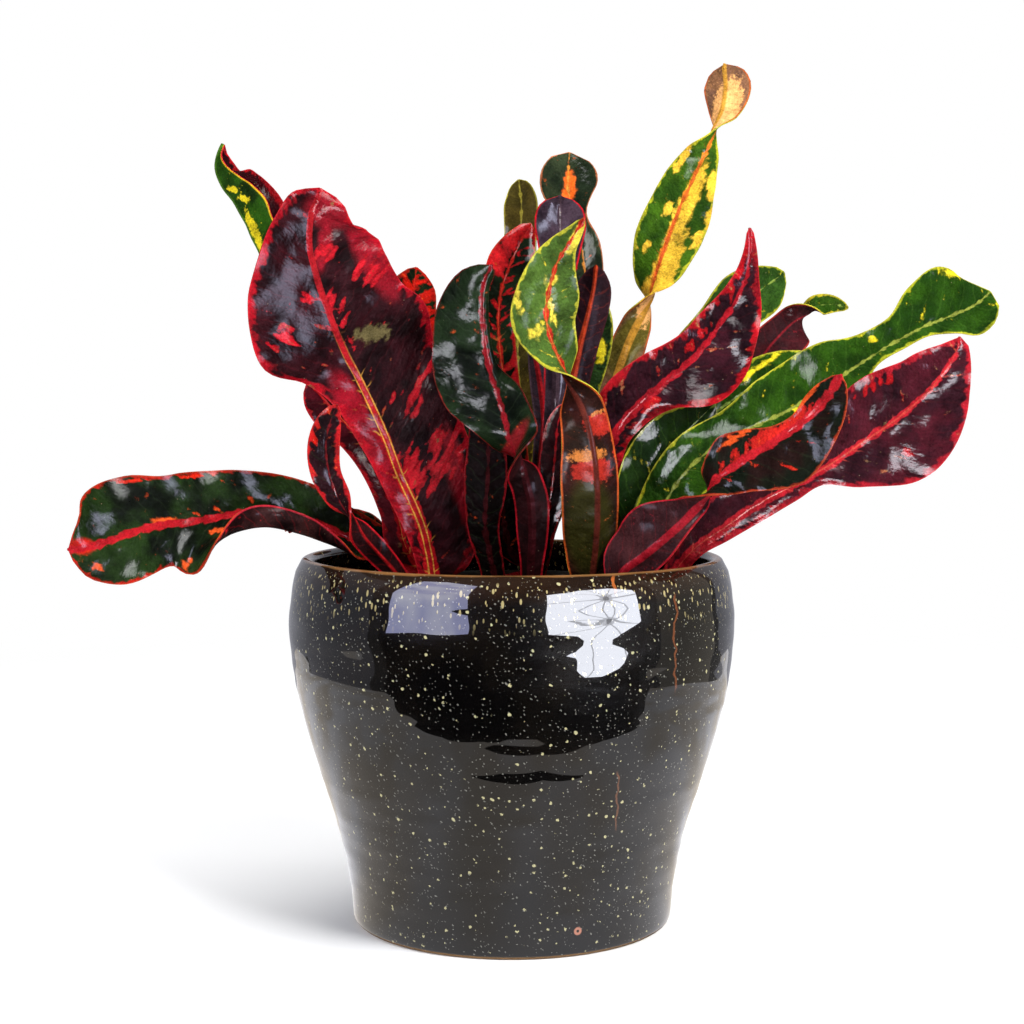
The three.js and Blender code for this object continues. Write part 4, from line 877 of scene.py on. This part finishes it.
def draw_ring(rise, grow, height, flat=1):
    """Draws the picked faces out by rise and resizes them at their new height, all in mm."""
    bpy.ops.mesh.extrude_region_move(TRANSFORM_OT_translate={"value": (0, 0, rise * MM)})
    bpy.ops.transform.resize(value=(grow, grow, flat), center_override=(0, 0, height * MM))


def close_edit():
    """Turns all faces of the edited piece outward and leaves edit mode."""
    bpy.ops.mesh.select_all(action="SELECT")
    bpy.ops.mesh.normals_make_consistent(inside=False)
    bpy.ops.object.mode_set(mode="OBJECT")


def settle(piece, name, slot, node):
    """Names a finished piece, sets it at the origin and lets it stand for its node. Its group
    tells the studio which cards it mirrors."""
    pick(piece)
    bpy.ops.object.transform_apply(location=True, rotation=True, scale=True)
    piece.name = name
    piece.data.name = name
    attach(piece, "root")
    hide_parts(node)
    group = "glazed" if slot == "glaze" else "foliage"
    collection = bpy.data.collections.get(group) or bpy.data.collections.new(group)
    collection.objects.link(piece)


def finish_piece(piece, material, angle, name, slot, node):
    """One material all over, and smooth shading where faces meet at less than the angle."""
    piece.data.materials.append(material)
    pick(piece)
    bpy.ops.object.shade_smooth_by_angle(angle=math.radians(angle))
    settle(piece, name, slot, node)


def modify(piece, kind, **settings):
    """Adds a modifier with its settings and applies it."""
    pick(piece)
    bpy.ops.object.modifier_add(type=kind)
    modifier = piece.modifiers[-1]
    for setting, value in settings.items():
        setattr(modifier, setting, value)
    bpy.ops.object.modifier_apply(modifier=modifier.name)


def eased(value, low, high):
    share = min(max((value - low) / (high - low), 0.0), 1.0)
    return share * share * (3 - 2 * share)


def curve_at(t, start, slope, end, end_slope):
    """A smooth curve from start to end with the slopes that it has there, t from 0 to 1."""
    return ((2 * t**3 - 3 * t**2 + 1) * start + (t**3 - 2 * t**2 + t) * slope
            + (3 * t**2 - 2 * t**3) * end + (t**3 - t**2) * end_slope)


# Leaves

def seen_point(x, z, y):
    """The true point that is seen at x, z on the upright plane through the pot's middle."""
    share = (EYE_DISTANCE + y) / EYE_DISTANCE
    return Vector((x * share, y, EYE_HEIGHT + (z - EYE_HEIGHT) * share))


def seen_stations(leaf):
    rows = leaf["rows"]
    lengths = [0.0]
    for before, after in zip(rows, rows[1:]):
        lengths.append(lengths[-1] + math.hypot(after[0] - before[0], after[1] - before[1]))
    turn = leaf.get("turn", 0)
    stations = []
    for row, length in zip(rows, lengths):
        x, z, y, left, right, roll, *curls = row + (0, 0, 0)[len(row) - 5:]
        leaning = leaf.get("lean", 0) * (length / lengths[-1]) ** 2
        wider = (1 + leaning / (EYE_DISTANCE + y)) / math.cos(math.radians(turn))
        angles = [math.radians(angle) for angle in (roll + turn, *curls)]
        stations.append([*seen_point(x, z, y + leaning), left * wider, right * wider, *angles])
    return stations


def back_stations(stem, at, azimuth, reach, rise, half, twist):
    x, y, top = STEMS[stem]
    way = math.radians(azimuth)
    stations = []
    for share, width in BACK_OUTLINE:
        out = STEM_RADIUS + reach * share
        height = at + rise * (1 - (1 - share) ** BACK_ARCH) - BACK_DROOP * reach * share**4
        place = (x + out * math.cos(way), y + out * math.sin(way), height)
        stations.append([*place, half * width, half * width, math.radians(twist * share), 0, 0])
    return stations


def stalk_stations(stem, at, first):
    """The two stations of the stalk, from the cutting's side straight out."""
    x, y, top = STEMS[stem]
    out = Vector((first[0] - x, first[1] - y, 0)).normalized()
    stations = []
    for distance, rise in ((STEM_RADIUS + SCAR_HEIGHT + FIT_GAP, 0), (STEM_RADIUS + 4, 0.6)):
        place = Vector((x, y, at + rise)) + out * distance
        stations.append([*place, STALK_HALF, STALK_HALF, first[5], 0, 0])
    return stations


def course(stations):
    """A smooth course through the stations, and the sample where the blade starts."""
    rows = np.array(stations, float)
    gaps = np.linalg.norm(np.diff(rows[:, :3], axis=0), axis=1)
    knots = np.concatenate([[0], np.cumsum(gaps)])
    last = len(gaps)
    samples = []
    starts = []
    for i, span in enumerate(gaps):
        starts.append(len(samples))
        change = abs(rows[i + 1] - rows[i])
        turned = math.degrees(TWIST_SHARE * change[5] + CURL_SHARE * change[6])
        steps = max(1, round((span + turned) / SEGMENT))
        slopes = []
        for k in (i, i + 1):
            before, after = max(k - 1, 0), min(k + 1, last)
            slopes.append(span * (rows[after] - rows[before]) / (knots[after] - knots[before]))
        for step in range(steps):
            samples.append(curve_at(step / steps, rows[i], slopes[0], rows[i + 1], slopes[1]))
    return samples + [rows[-1]], starts[STALK_STATIONS]


def leaf_frames(samples, first_blade, seen):
    """The place, the way to the right edge and the way up from the blade, at each sample."""
    places = [Vector(row[:3]) for row in samples]
    last = len(places) - 1
    tangents = [(places[min(i + 1, last)] - places[max(i - 1, 0)]).normalized() for i in range(last + 1)]
    sides = [None] * (last + 1)
    for i in range(last, -1, -1):
        tangent = tangents[i]
        if i >= first_blade:
            face = Vector((0, 0, 1))
            if seen:
                face = (Vector((0, -EYE_DISTANCE, EYE_HEIGHT)) - places[i]).normalized()
            upper = (face - tangent * face.dot(tangent)).normalized()
            roll = samples[i][5]
            sides[i] = tangent.cross(upper) * math.cos(roll) + upper * math.sin(roll)
        else:
            carried = sides[i + 1]
            sides[i] = (carried - tangent * carried.dot(tangent)).normalized()
    return [(place, side, side.cross(tangent)) for place, side, tangent in zip(places, sides, tangents)]


def across_half(width, share, fold, curl):
    """A half of the blade is an arc that leaves the rib at the fold and then curls."""
    if abs(curl) < 1e-3:
        return width * share * math.cos(fold), width * share * math.sin(fold)
    end = fold + curl * share
    radius = width / curl
    return radius * (math.sin(end) - math.sin(fold)), radius * (math.cos(fold) - math.cos(end))


def blade_points(samples, frames, fold, wave, columns, seed):
    """The blade's middle surface and its measures, row by row from left to right."""
    points, measures = [], []
    length = 0.0
    total = sum((b[0] - a[0]).length for a, b in zip(frames, frames[1:]))
    tip_width = max(samples[-1][3:5])
    previous = frames[0][0]
    for i, (place, side, upper) in enumerate(frames):
        length += (place - previous).length
        previous = place
        left, right, roll, curl_left, curl_right = samples[i][3:]
        half_width = (left + right) / 2
        stalk = 1 - eased(half_width, STALK_HALF, 5) if i < len(frames) / 2 else 0.0
        to_tip = min((total - length) / (0.9 * tip_width), 1.0)
        rounding = math.sqrt(1 - (1 - to_tip) ** 2)
        for j in range(-columns, columns + 1):
            share = abs(j) / columns
            sign = (j > 0) - (j < 0)
            width, curl, phase = (left, curl_left, 0.8) if j < 0 else (right, curl_right, 3.1)
            width = max(width * rounding, 0.3)
            blade_fold = math.radians(fold) * eased(width, STALK_HALF, 6)
            beside, above = across_half(width, share, blade_fold, curl)
            calm = eased(width, 3, 10)
            across = sign * width * share
            ripple = wave * calm * share**2 * math.sin(2 * math.pi * length / WAVE_LENGTH + phase)
            swell = noise.noise(Vector((across / 7, length / 8, seed))) * (1 - share**3)
            flutter = noise.noise(Vector((sign * 3.7, length / 5, seed + 9))) * share**4
            rib = (1 - share) ** 3 * (1 - stalk)
            thick = BLADE_EDGE + (BLADE - BLADE_EDGE) * eased(width * (1 - share), 0.0, 2.0) + RIB * rib
            thick += (STALK_THICK - thick) * stalk
            lift = above + ripple + calm * (SWELL * swell + FLUTTER * flutter) - RIB_DROP * rib
            points.append(place + side * (sign * beside) + upper * lift)
            measures.append((across, width * (1 - share), length, thick / STALK_THICK, length / total))
    return points, measures


def mark_strength(points, marks, kind):
    """How strongly the leaf's own marks of one kind colour each point, from 0 to 1."""
    chosen = [mark[1:] for mark in marks if mark[0] == kind]
    strengths = []
    for point in points:
        share = EYE_DISTANCE / (EYE_DISTANCE + point.y)
        x, z = point.x * share, EYE_HEIGHT + (point.z - EYE_HEIGHT) * share
        strength = 0.0
        for mark_x, mark_z, half_length, half_width, slant in chosen:
            turn = math.radians(slant)
            along = (x - mark_x) * math.cos(turn) + (z - mark_z) * math.sin(turn)
            beside = (z - mark_z) * math.cos(turn) - (x - mark_x) * math.sin(turn)
            away = math.hypot(along / half_length, beside / half_width)
            strength = max(strength, min(1.0, 1.6 * (1.32 - away)))
        strengths.append(strength)
    return strengths


def blade_mesh(points, measures, columns, rows, marks, rib_wide):
    """A flat grid laid on the blade's points, with its measures kept for the finish."""
    bpy.ops.mesh.primitive_grid_add(x_subdivisions=2 * columns, y_subdivisions=rows - 1, size=2)
    piece = bpy.context.object
    mesh = piece.data
    flat = np.zeros(len(mesh.vertices) * 3)
    mesh.vertices.foreach_get("co", flat)
    flat = flat.reshape(-1, 3)
    order = np.lexsort((flat[:, 0].round(5), flat[:, 1].round(5)))
    laid = np.zeros_like(flat)
    laid[order] = np.array(points) * MM
    mesh.vertices.foreach_set("co", laid.ravel())
    across, edge, along, thickness, gone = np.array(measures).T
    wide = rib_wide[0] + (rib_wide[1] - rib_wide[0]) * gone
    keep = {"across": across, "edge": edge, "along": along, "rib": wide}
    for kind in ("flush", "glow", "wash"):
        keep[kind] = mark_strength(points, marks, kind)
    for title, values in keep.items():
        laid = np.zeros(len(flat), np.float32)
        laid[order] = values
        mesh.attributes.new(title, "FLOAT", "POINT").data.foreach_set("value", laid)
    group = piece.vertex_groups.new(name="thickness")
    for i, weight in zip(order, thickness):
        group.add([int(i)], float(min(weight, 1.0)), "REPLACE")
    return piece


def leaf(name, stations, seen, fold, wave, columns, wear, seed):
    samples, first_blade = course(stations)
    frames = leaf_frames(samples, first_blade, seen)
    points, measures = blade_points(samples, frames, fold, wave, columns, seed)
    piece = blade_mesh(points, measures, columns, len(frames), wear["marks"], wear["rib_wide"])
    piece.data.materials.append(leaf_skin(name, wear, seed))
    piece.data.materials.append(leaf_underside(name, wear, seed))
    modify(piece, "SOLIDIFY", thickness=STALK_THICK * MM, offset=0, vertex_group="thickness",
           material_offset=1)
    bpy.ops.object.shade_smooth_by_angle(angle=math.radians(50))
    settle(piece, name + "_blade", SLOTS[name], name)


def front_leaves():
    for seed, (name, row) in enumerate(LEAVES.items()):
        blade = seen_stations(row)
        stations = stalk_stations(row["stem"], row["at"], blade[0]) + blade
        widest = max(max(station[3:5]) for station in blade)
        columns = 6 if widest < NARROW_LEAF else 10
        leaf(name, stations, True, row["fold"], row["wave"], columns, COATS[name], seed)


def back_leaves():
    for i, row in enumerate(BACK_LEAVES):
        blade = back_stations(*row)
        stations = stalk_stations(row[0], row[1], blade[0]) + blade
        name = f"leaf_back_{i + 1}"
        leaf(name, stations, False, BACK_FOLD, BACK_WAVE, BACK_COLUMNS, BACK_COATS[i], BACK_SEED + i)


# Pots, soil and cuttings

def turned_piece(outline, sides):
    """A turned piece: a disc raised ring by ring to the outline's radius and height."""
    radius, height = outline[0]
    bpy.ops.mesh.primitive_circle_add(vertices=sides, radius=radius * MM, fill_type="NGON")
    piece = bpy.context.object
    edit_all()
    bpy.ops.transform.translate(value=(0, 0, height * MM))
    for next_radius, next_height in outline[1:]:
        draw_ring(next_height - height, next_radius / radius, next_height)
        radius, height = next_radius, next_height
    close_edit()
    return piece


def smooth_side(points, step):
    """Points of radius and height on a smooth curve, a step apart in height."""
    radii, heights = zip(*points)
    slopes = np.gradient(radii, heights)
    side = []
    for height in np.arange(heights[0], heights[-1], step):
        i = min(int(np.searchsorted(heights, height, side="right")) - 1, len(points) - 2)
        span = heights[i + 1] - heights[i]
        t = (height - heights[i]) / span
        radius = curve_at(t, radii[i], span * slopes[i], radii[i + 1], span * slopes[i + 1])
        side.append((float(radius), float(height)))
    return side + [points[-1]]


def roughly_thrown(height):
    """1 where the wall is as uneven as elsewhere, less in the smoother band near the middle."""
    middle, smooth_to, rough_from = SMOOTH_BAND
    return 0.03 + 0.97 * eased(abs(height - middle), smooth_to, rough_from)


def throwing_ridge(height):
    """The potter's finger ridges, strongest low on the pot."""
    fade = eased(height, *RIDGES_START) * (1 - eased(height, *RIDGES_END))
    return RIDGE_HEIGHT * fade * roughly_thrown(height) * math.sin(2 * math.pi * height / RIDGE_STEP)


def cover_pot():
    lip = POT_WALL / 2
    rim_radius = POT_MOUTH_RADIUS - lip
    side = smooth_side(POT_SIDE, POT_RING_STEP)
    outline = list(POT_FOOT)
    outline += [(radius + throwing_ridge(height), height) for radius, height in side]
    for angle in range(45, 181, 15):
        turn = math.radians(angle)
        outline.append((rim_radius + lip * math.cos(turn), POT_HEIGHT - lip + lip * math.sin(turn)))
    low, high = POT_LINING
    lining = [(radius - POT_WALL, height) for radius, height in side if low < height < high]
    outline += lining[::-2]
    outline += [(POT_FOOT_RADIUS - inward, POT_FLOOR + rise) for inward, rise in POT_COVE]
    piece = turned_piece(outline, POT_SIDES)
    for vertex in piece.data.vertices:
        x, y, z = vertex.co / MM
        unevenness = noise.noise(Vector((x / HAND_WIDTH, y / HAND_WIDTH, z / HAND_MARK)))
        thrown = eased(z, *HAND_START) * (1 - eased(z, *HAND_END)) * roughly_thrown(z)
        grow = 1 + HAND_DEPTH * thrown * unevenness / POT_FOOT_RADIUS
        vertex.co.x *= grow
        vertex.co.y *= grow
    finish_piece(piece, glaze(), 60, "glazed_pot", "glaze", "cover_pot")


def grower_radius(height):
    share = (height - GROWER_FOOT) / (GROWER_TOP - GROWER_FOOT)
    return GROWER_BASE_RADIUS + (GROWER_RIM_RADIUS - GROWER_BASE_RADIUS) * share


def grower_pot():
    top_radius = grower_radius(GROWER_TOP)
    lip_radius = GROWER_RIM_RADIUS + GROWER_LIP
    inner_foot = GROWER_FOOT + GROWER_WALL
    outline = [
        (GROWER_BASE_RADIUS - 1, GROWER_FOOT), (GROWER_BASE_RADIUS, GROWER_FOOT + 1),
        (grower_radius(GROWER_TOP - 8), GROWER_TOP - 8), (lip_radius - 0.3, GROWER_TOP - 7.2),
        (lip_radius, GROWER_TOP - 6.8), (lip_radius, GROWER_TOP - 0.6), (lip_radius - 0.5, GROWER_TOP),
        (top_radius - GROWER_WALL + 0.5, GROWER_TOP), (top_radius - GROWER_WALL, GROWER_TOP - 0.5),
        (grower_radius(inner_foot) - GROWER_WALL, inner_foot),
    ]
    piece = turned_piece(outline, GROWER_SIDES)
    for i in range(DRAIN_HOLES):
        turn = 2 * math.pi * i / DRAIN_HOLES
        place = Vector((DRAIN_CIRCLE * math.cos(turn), DRAIN_CIRCLE * math.sin(turn), GROWER_FOOT)) * MM
        bpy.ops.mesh.primitive_cylinder_add(vertices=32, radius=DRAIN_RADIUS * MM, depth=0.01, location=place)
        drill = bpy.context.object
        modify(piece, "BOOLEAN", operation="DIFFERENCE", object=drill)
        bpy.data.objects.remove(drill)
    finish_piece(piece, plastic(), 35, "plastic_pot", "pot_plastic", "grower_pot")


def crumb_height(x, y):
    """The soil's crumbly top at a place in mm, above or below its mean."""
    broad = 1.6 * math.sin(x / 11 + 1.3) * math.cos(y / 9 - 0.4)
    lumps = 1.5 * noise.noise(Vector((x / 3.2, y / 3.2, 4.0)))
    fine = 0.8 * noise.noise(Vector((x / 1.3, y / 1.3, 8.0)))
    return broad + lumps + fine


def soil():
    """A square sheet drawn round, crumbled on top and drawn down into the pot."""
    inset = GROWER_WALL + FIT_GAP
    edge = grower_radius(SOIL_TOP - 1) - inset
    foot = GROWER_FOOT + inset
    bpy.ops.mesh.primitive_grid_add(x_subdivisions=SOIL_CELLS, y_subdivisions=SOIL_CELLS, size=2)
    piece = bpy.context.object
    for vertex in piece.data.vertices:
        u, v = vertex.co.x, vertex.co.y
        x = u * math.sqrt(1 - v * v / 2) * edge
        y = v * math.sqrt(1 - u * u / 2) * edge
        calm = eased(edge - math.hypot(x, y), 0, 2)
        vertex.co = Vector((x, y, SOIL_TOP - 1 + calm * (1 + crumb_height(x, y)))) * MM
    edit_all()
    draw_ring(foot - SOIL_TOP, (grower_radius(foot) - inset) / edge, foot, flat=0)
    close_edit()
    crumbs = scattered_crumbs(edge)
    pick(piece)
    crumbs.select_set(True)
    bpy.ops.object.join()
    piece.data.materials.clear()
    piece.data.materials.append(peat())
    bpy.ops.object.shade_smooth()
    settle(piece, "potting_soil", "soil", "soil")


def scattered_crumbs(edge):
    """Loose crumbs of peat and bark on the soil, all copies of one lump."""
    bpy.ops.mesh.primitive_ico_sphere_add(subdivisions=2, radius=1)
    lump = bpy.context.object
    shape = [vertex.co.copy() for vertex in lump.data.vertices]
    faces = [tuple(face.vertices) for face in lump.data.polygons]
    chance = random.Random(7)
    vertices, all_faces = [], []
    for i in range(CRUMB_COUNT):
        out = (edge - 3) * math.sqrt(chance.random())
        way = chance.uniform(0, 2 * math.pi)
        x, y = out * math.cos(way), out * math.sin(way)
        size = chance.uniform(*CRUMB_SIZE)
        turn = Matrix.Rotation(chance.uniform(0, 6.3), 3, Vector((chance.random(), chance.random(), 1)))
        stretch = Vector((chance.uniform(0.7, 1.5), chance.uniform(0.6, 1.1), 0.7))
        base = Vector((x, y, SOIL_TOP + crumb_height(x, y) + 0.2 * size))
        first = len(vertices)
        for corner in shape:
            dent = 1 + 0.25 * noise.noise(corner * 1.7 + Vector((i, 0, 0)))
            vertices.append((base + turn @ (corner * stretch * size * dent)) * MM)
        all_faces += [tuple(first + index for index in face) for face in faces]
    crumbs = bpy.data.meshes.new("crumbs")
    crumbs.from_pydata(vertices, [], all_faces)
    lump.data = crumbs
    return lump


def cutting(place, stem):
    """A woody stem with ring scars where old leaves grew, rounded off at the top."""
    x, y, top = stem
    steps = [(-0.2, STEM_FOOT)]
    height = SCAR_FIRST
    while height < top - 8:
        steps += [(grow, height + rise) for grow, rise in SCAR_STEPS]
        height += SCAR_STEP
    outline = [(STEM_RADIUS + grow, height) for grow, height in steps]
    outline += [(STEM_RADIUS - 0.6, top - 3), (STEM_RADIUS * 0.8, top - 1.4)]
    outline += [(STEM_RADIUS * 0.5, top - 0.3), (0.4, top)]
    piece = turned_piece(outline, STEM_SIDES)
    bpy.ops.transform.translate(value=(x * MM, y * MM, 0))
    skin = bpy.data.materials.get("croton_bark") or bark()
    finish_piece(piece, skin, 60, f"stem_{place}", "bark", f"cutting_{place}")


# Studio

def from_shoulder(azimuth, elevation, distance):
    """The place seen from the pot's shoulder in this direction, azimuth 0 to the front."""
    turn, rise = math.radians(azimuth), math.radians(elevation)
    x, y, z = GLAZE_SHOULDER
    return (x + distance * math.sin(turn), y - distance * math.cos(turn), z + distance * math.tan(rise))


def unlit(name):
    """A finish that shows only what it gives off."""
    finish = Finish(name, 1.0, specular=0.0)
    finish.colour(paint("#000000"))
    return finish


def glowing(name, colour, strength):
    finish = unlit(name)
    finish.glow(paint(colour), strength)
    return finish.material


def patchy_glow(name, colour, other, strength, scale):
    """A card that is lit unevenly, from one tint to the other."""
    finish = unlit(name)
    patches = finish.cloud(finish.place(), scale).step(0.34, 0.66)
    finish.glow(finish.blend(patches, paint(colour), paint(other)), strength)
    return finish.material


def umbrella_cloth():
    """The inside of a white umbrella: its thin ribs, and the lamp head before its middle."""
    finish = unlit("umbrella_cloth")
    x, y, z = finish.apart(finish.place())
    right = x - GLAZE_SHOULDER[0]
    front = GLAZE_SHOULDER[1] - y
    rise = (z - GLAZE_SHOULDER[2]) * (1 / LAMP_DISTANCE)
    beside = finish.sum("ARCTAN2", right, front) - math.radians(LAMP_HEAD[0])
    above = rise - math.tan(math.radians(LAMP_HEAD[1]))
    away = finish.sum("SQRT", beside * beside + above * above)
    round_it = finish.sum("PINGPONG", finish.sum("ARCTAN2", above, beside), math.pi / UMBRELLA_RIBS)
    rib = (round_it * away).fall(0.003, 0.01)
    lamp = away.fall(*LAMP_OUTSIDE)
    core = away.fall(*LAMP_CORE)
    dark = (rib * 0.6).most(lamp * 0.45).most(core * 0.8)
    finish.glow(paint("#f2f5ff"), (1.0 - dark) * UMBRELLA_LIGHT)
    return finish.material


def soft_glow(name, colour, strength, centre, reach):
    """A glow that fades from the middle of its card and lets what stands behind it be seen."""
    finish = Finish(name, 1.0)
    finish.nodes.remove(finish.shader)
    fade = finish.distance(finish.place(), centre).fall(0.2 * reach, reach)
    lamp = finish.add("Emission", {"Color": paint(colour), "Strength": fade * strength})
    both = finish.add("AddShader", {0: lamp, 1: finish.add("BsdfTransparent", {})})
    finish.feed(finish.nodes["Material Output"].inputs["Surface"], both)
    return finish.material


def hide_from(piece, *rays):
    """Keeps a piece out of what rays of these kinds see."""
    for ray in rays:
        setattr(piece, "visible_" + ray, False)


def light_card(name, material, low, high, shown_in="glazed"):
    """A card seen only in the gloss of a group of pieces: its lower and upper edges in metres."""
    count = len(low)
    mesh = bpy.data.meshes.new(name)
    strips = [(i, i + 1, count + i + 1, count + i) for i in range(count - 1)]
    mesh.from_pydata(low + high, [], strips)
    mesh.materials.append(material)
    piece = bpy.data.objects.new(name, mesh)
    bpy.context.scene.collection.objects.link(piece)
    hide_from(piece, "camera", "diffuse", "shadow", "transmission")
    piece.light_linking.receiver_collection = bpy.data.collections[shown_in]


def curved_card(name, material, edges, distance, shown_in="glazed"):
    """A card round the pot: azimuth, lower and upper elevation from the pot's shoulder."""
    low = [from_shoulder(azimuth, lower, distance) for azimuth, lower, upper in edges]
    high = [from_shoulder(azimuth, upper, distance) for azimuth, lower, upper in edges]
    light_card(name, material, low, high, shown_in)


def leaf_light(name, colour, strength, low, high):
    """A lamp head that all but the glaze mirrors, between two corners in degrees."""
    centre = from_shoulder((low[0] + high[0]) / 2, (low[1] + high[1]) / 2, LAMP_DISTANCE)
    reach = LAMP_DISTANCE * math.radians(max(high[0] - low[0], high[1] - low[1])) / 2
    edges = [(low[0], low[1], high[1]), (high[0], low[1], high[1])]
    curved_card(name, soft_glow(name, colour, strength, centre, reach), edges, LAMP_DISTANCE, "foliage")


def softbox(name, place, size, power, colour):
    light = bpy.data.lights.new(name, "AREA")
    light.shape = "RECTANGLE"
    light.size = size
    light.size_y = size * 1.3
    light.energy = power
    light.color = colour
    lamp = bpy.data.objects.new(name, light)
    bpy.context.scene.collection.objects.link(lamp)
    lamp.location = place
    aim = Vector(SOFTBOX_AIM) - Vector(place)
    lamp.rotation_euler = aim.to_track_quat("-Z", "Y").to_euler()
    lamp.visible_glossy = False


def white_floor():
    """A pale sheet that takes the shadow near the pot and runs out to plain white."""
    bpy.ops.mesh.primitive_plane_add(size=16)
    floor = bpy.context.object
    floor.name = "studio_floor"
    finish = Finish("white_floor", 0.9, specular=0.0)
    x, y, z = finish.apart(finish.place())
    far = finish.sum("SQRT", x * x + y * y).step(*FLOOR_FADE)
    finish.colour(finish.layer(paint("#f4f4f4"), far, "#000000"))
    finish.glow(paint("#ffffff"), far)
    floor.data.materials.append(finish.material)
    hide_from(floor, "glossy", "shadow")


def white_room():
    """What the camera sees behind the plant: a plain white dome."""
    bpy.ops.mesh.primitive_uv_sphere_add(segments=32, ring_count=16, radius=7)
    dome = bpy.context.object
    dome.name = "white_room"
    dome.data.materials.append(glowing("white_wall", "#ffffff", 1.0))
    hide_from(dome, "diffuse", "glossy", "shadow", "transmission")
    world = bpy.data.worlds.new("dim_room")
    bpy.context.scene.world = world
    world.use_nodes = True
    background = world.node_tree.nodes["Background"]
    background.inputs["Color"].default_value = (1, 1, 1, 1)
    background.inputs["Strength"].default_value = ROOM_LIGHT


def table_and_back():
    """What the glaze mirrors low down: the table round the dark place where the camera stands,
    a dark slot in the table, and the white wall behind the plant."""
    table = patchy_glow("uneven_table", "#e2d8cc", "#fbfaff", 1.2 * TABLE_LIGHT, 11.0)
    near = [(x, y, 0.001) for x, y in TABLE_EDGE]
    far = [(x, max(y, 0.4), 0.001) for x, y in TABLE_EDGE]
    light_card("table_in_gloss", table, near, far)
    slot_near = [(x, y, 0.0015) for x, y in SLOT_NEAR]
    slot_far = [(x, y, 0.0015) for x, y in SLOT_FAR]
    light_card("dark_slot", glowing("dark_slot", "#000000", 0.0), slot_near, slot_far)
    back = glowing("white_back", "#e9eaf6", BACK_LIGHT)
    light_card("white_back", back, [(-1.6, 1.2, -0.3), (1.6, 1.2, -0.3)], [(-1.6, 1.2, 1.6), (1.6, 1.2, 1.6)])


def studio():
    white_floor()
    white_room()
    table_and_back()
    front = [(turn, *FRONT_REACH) for turn in range(-70, 80, 10)]
    curved_card("dark_front", glowing("dark_front", "#000000", 0.0), front, FRONT_DISTANCE)
    for name, (tint, turns) in WALLS.items():
        edges = [(turn, *WALL_REACH) for turn in turns]
        curved_card(name, glowing(name, tint, WALL_LIGHT), edges, WALL_DISTANCE)
    curved_card("right_umbrella", umbrella_cloth(), UMBRELLA, LAMP_DISTANCE)
    window = patchy_glow("window_light", "#b4b8e4", "#e2e4fa", 10.0, 4.0)
    curved_card("left_window", window, WINDOW, LAMP_DISTANCE)
    for name, lamp in LEAF_LIGHTS.items():
        leaf_light(name, *lamp)
    for name, light in SOFTBOXES.items():
        softbox(name, *light)


def camera():
    lens = bpy.data.cameras.new("camera")
    lens.lens = LENS
    lens.sensor_width = 36
    eye = bpy.data.objects.new("camera", lens)
    bpy.context.scene.collection.objects.link(eye)
    eye.location = (0, -EYE_DISTANCE * MM, EYE_HEIGHT * MM)
    eye.rotation_euler = (math.radians(90 - EYE_DIP), 0, 0)
    bpy.context.scene.camera = eye


cover_pot()
grower_pot()
soil()
for place, stem in STEMS.items():
    cutting(place, stem)
front_leaves()
back_leaves()
studio()
camera()
bpy.context.scene.view_settings.view_transform = "Standard"
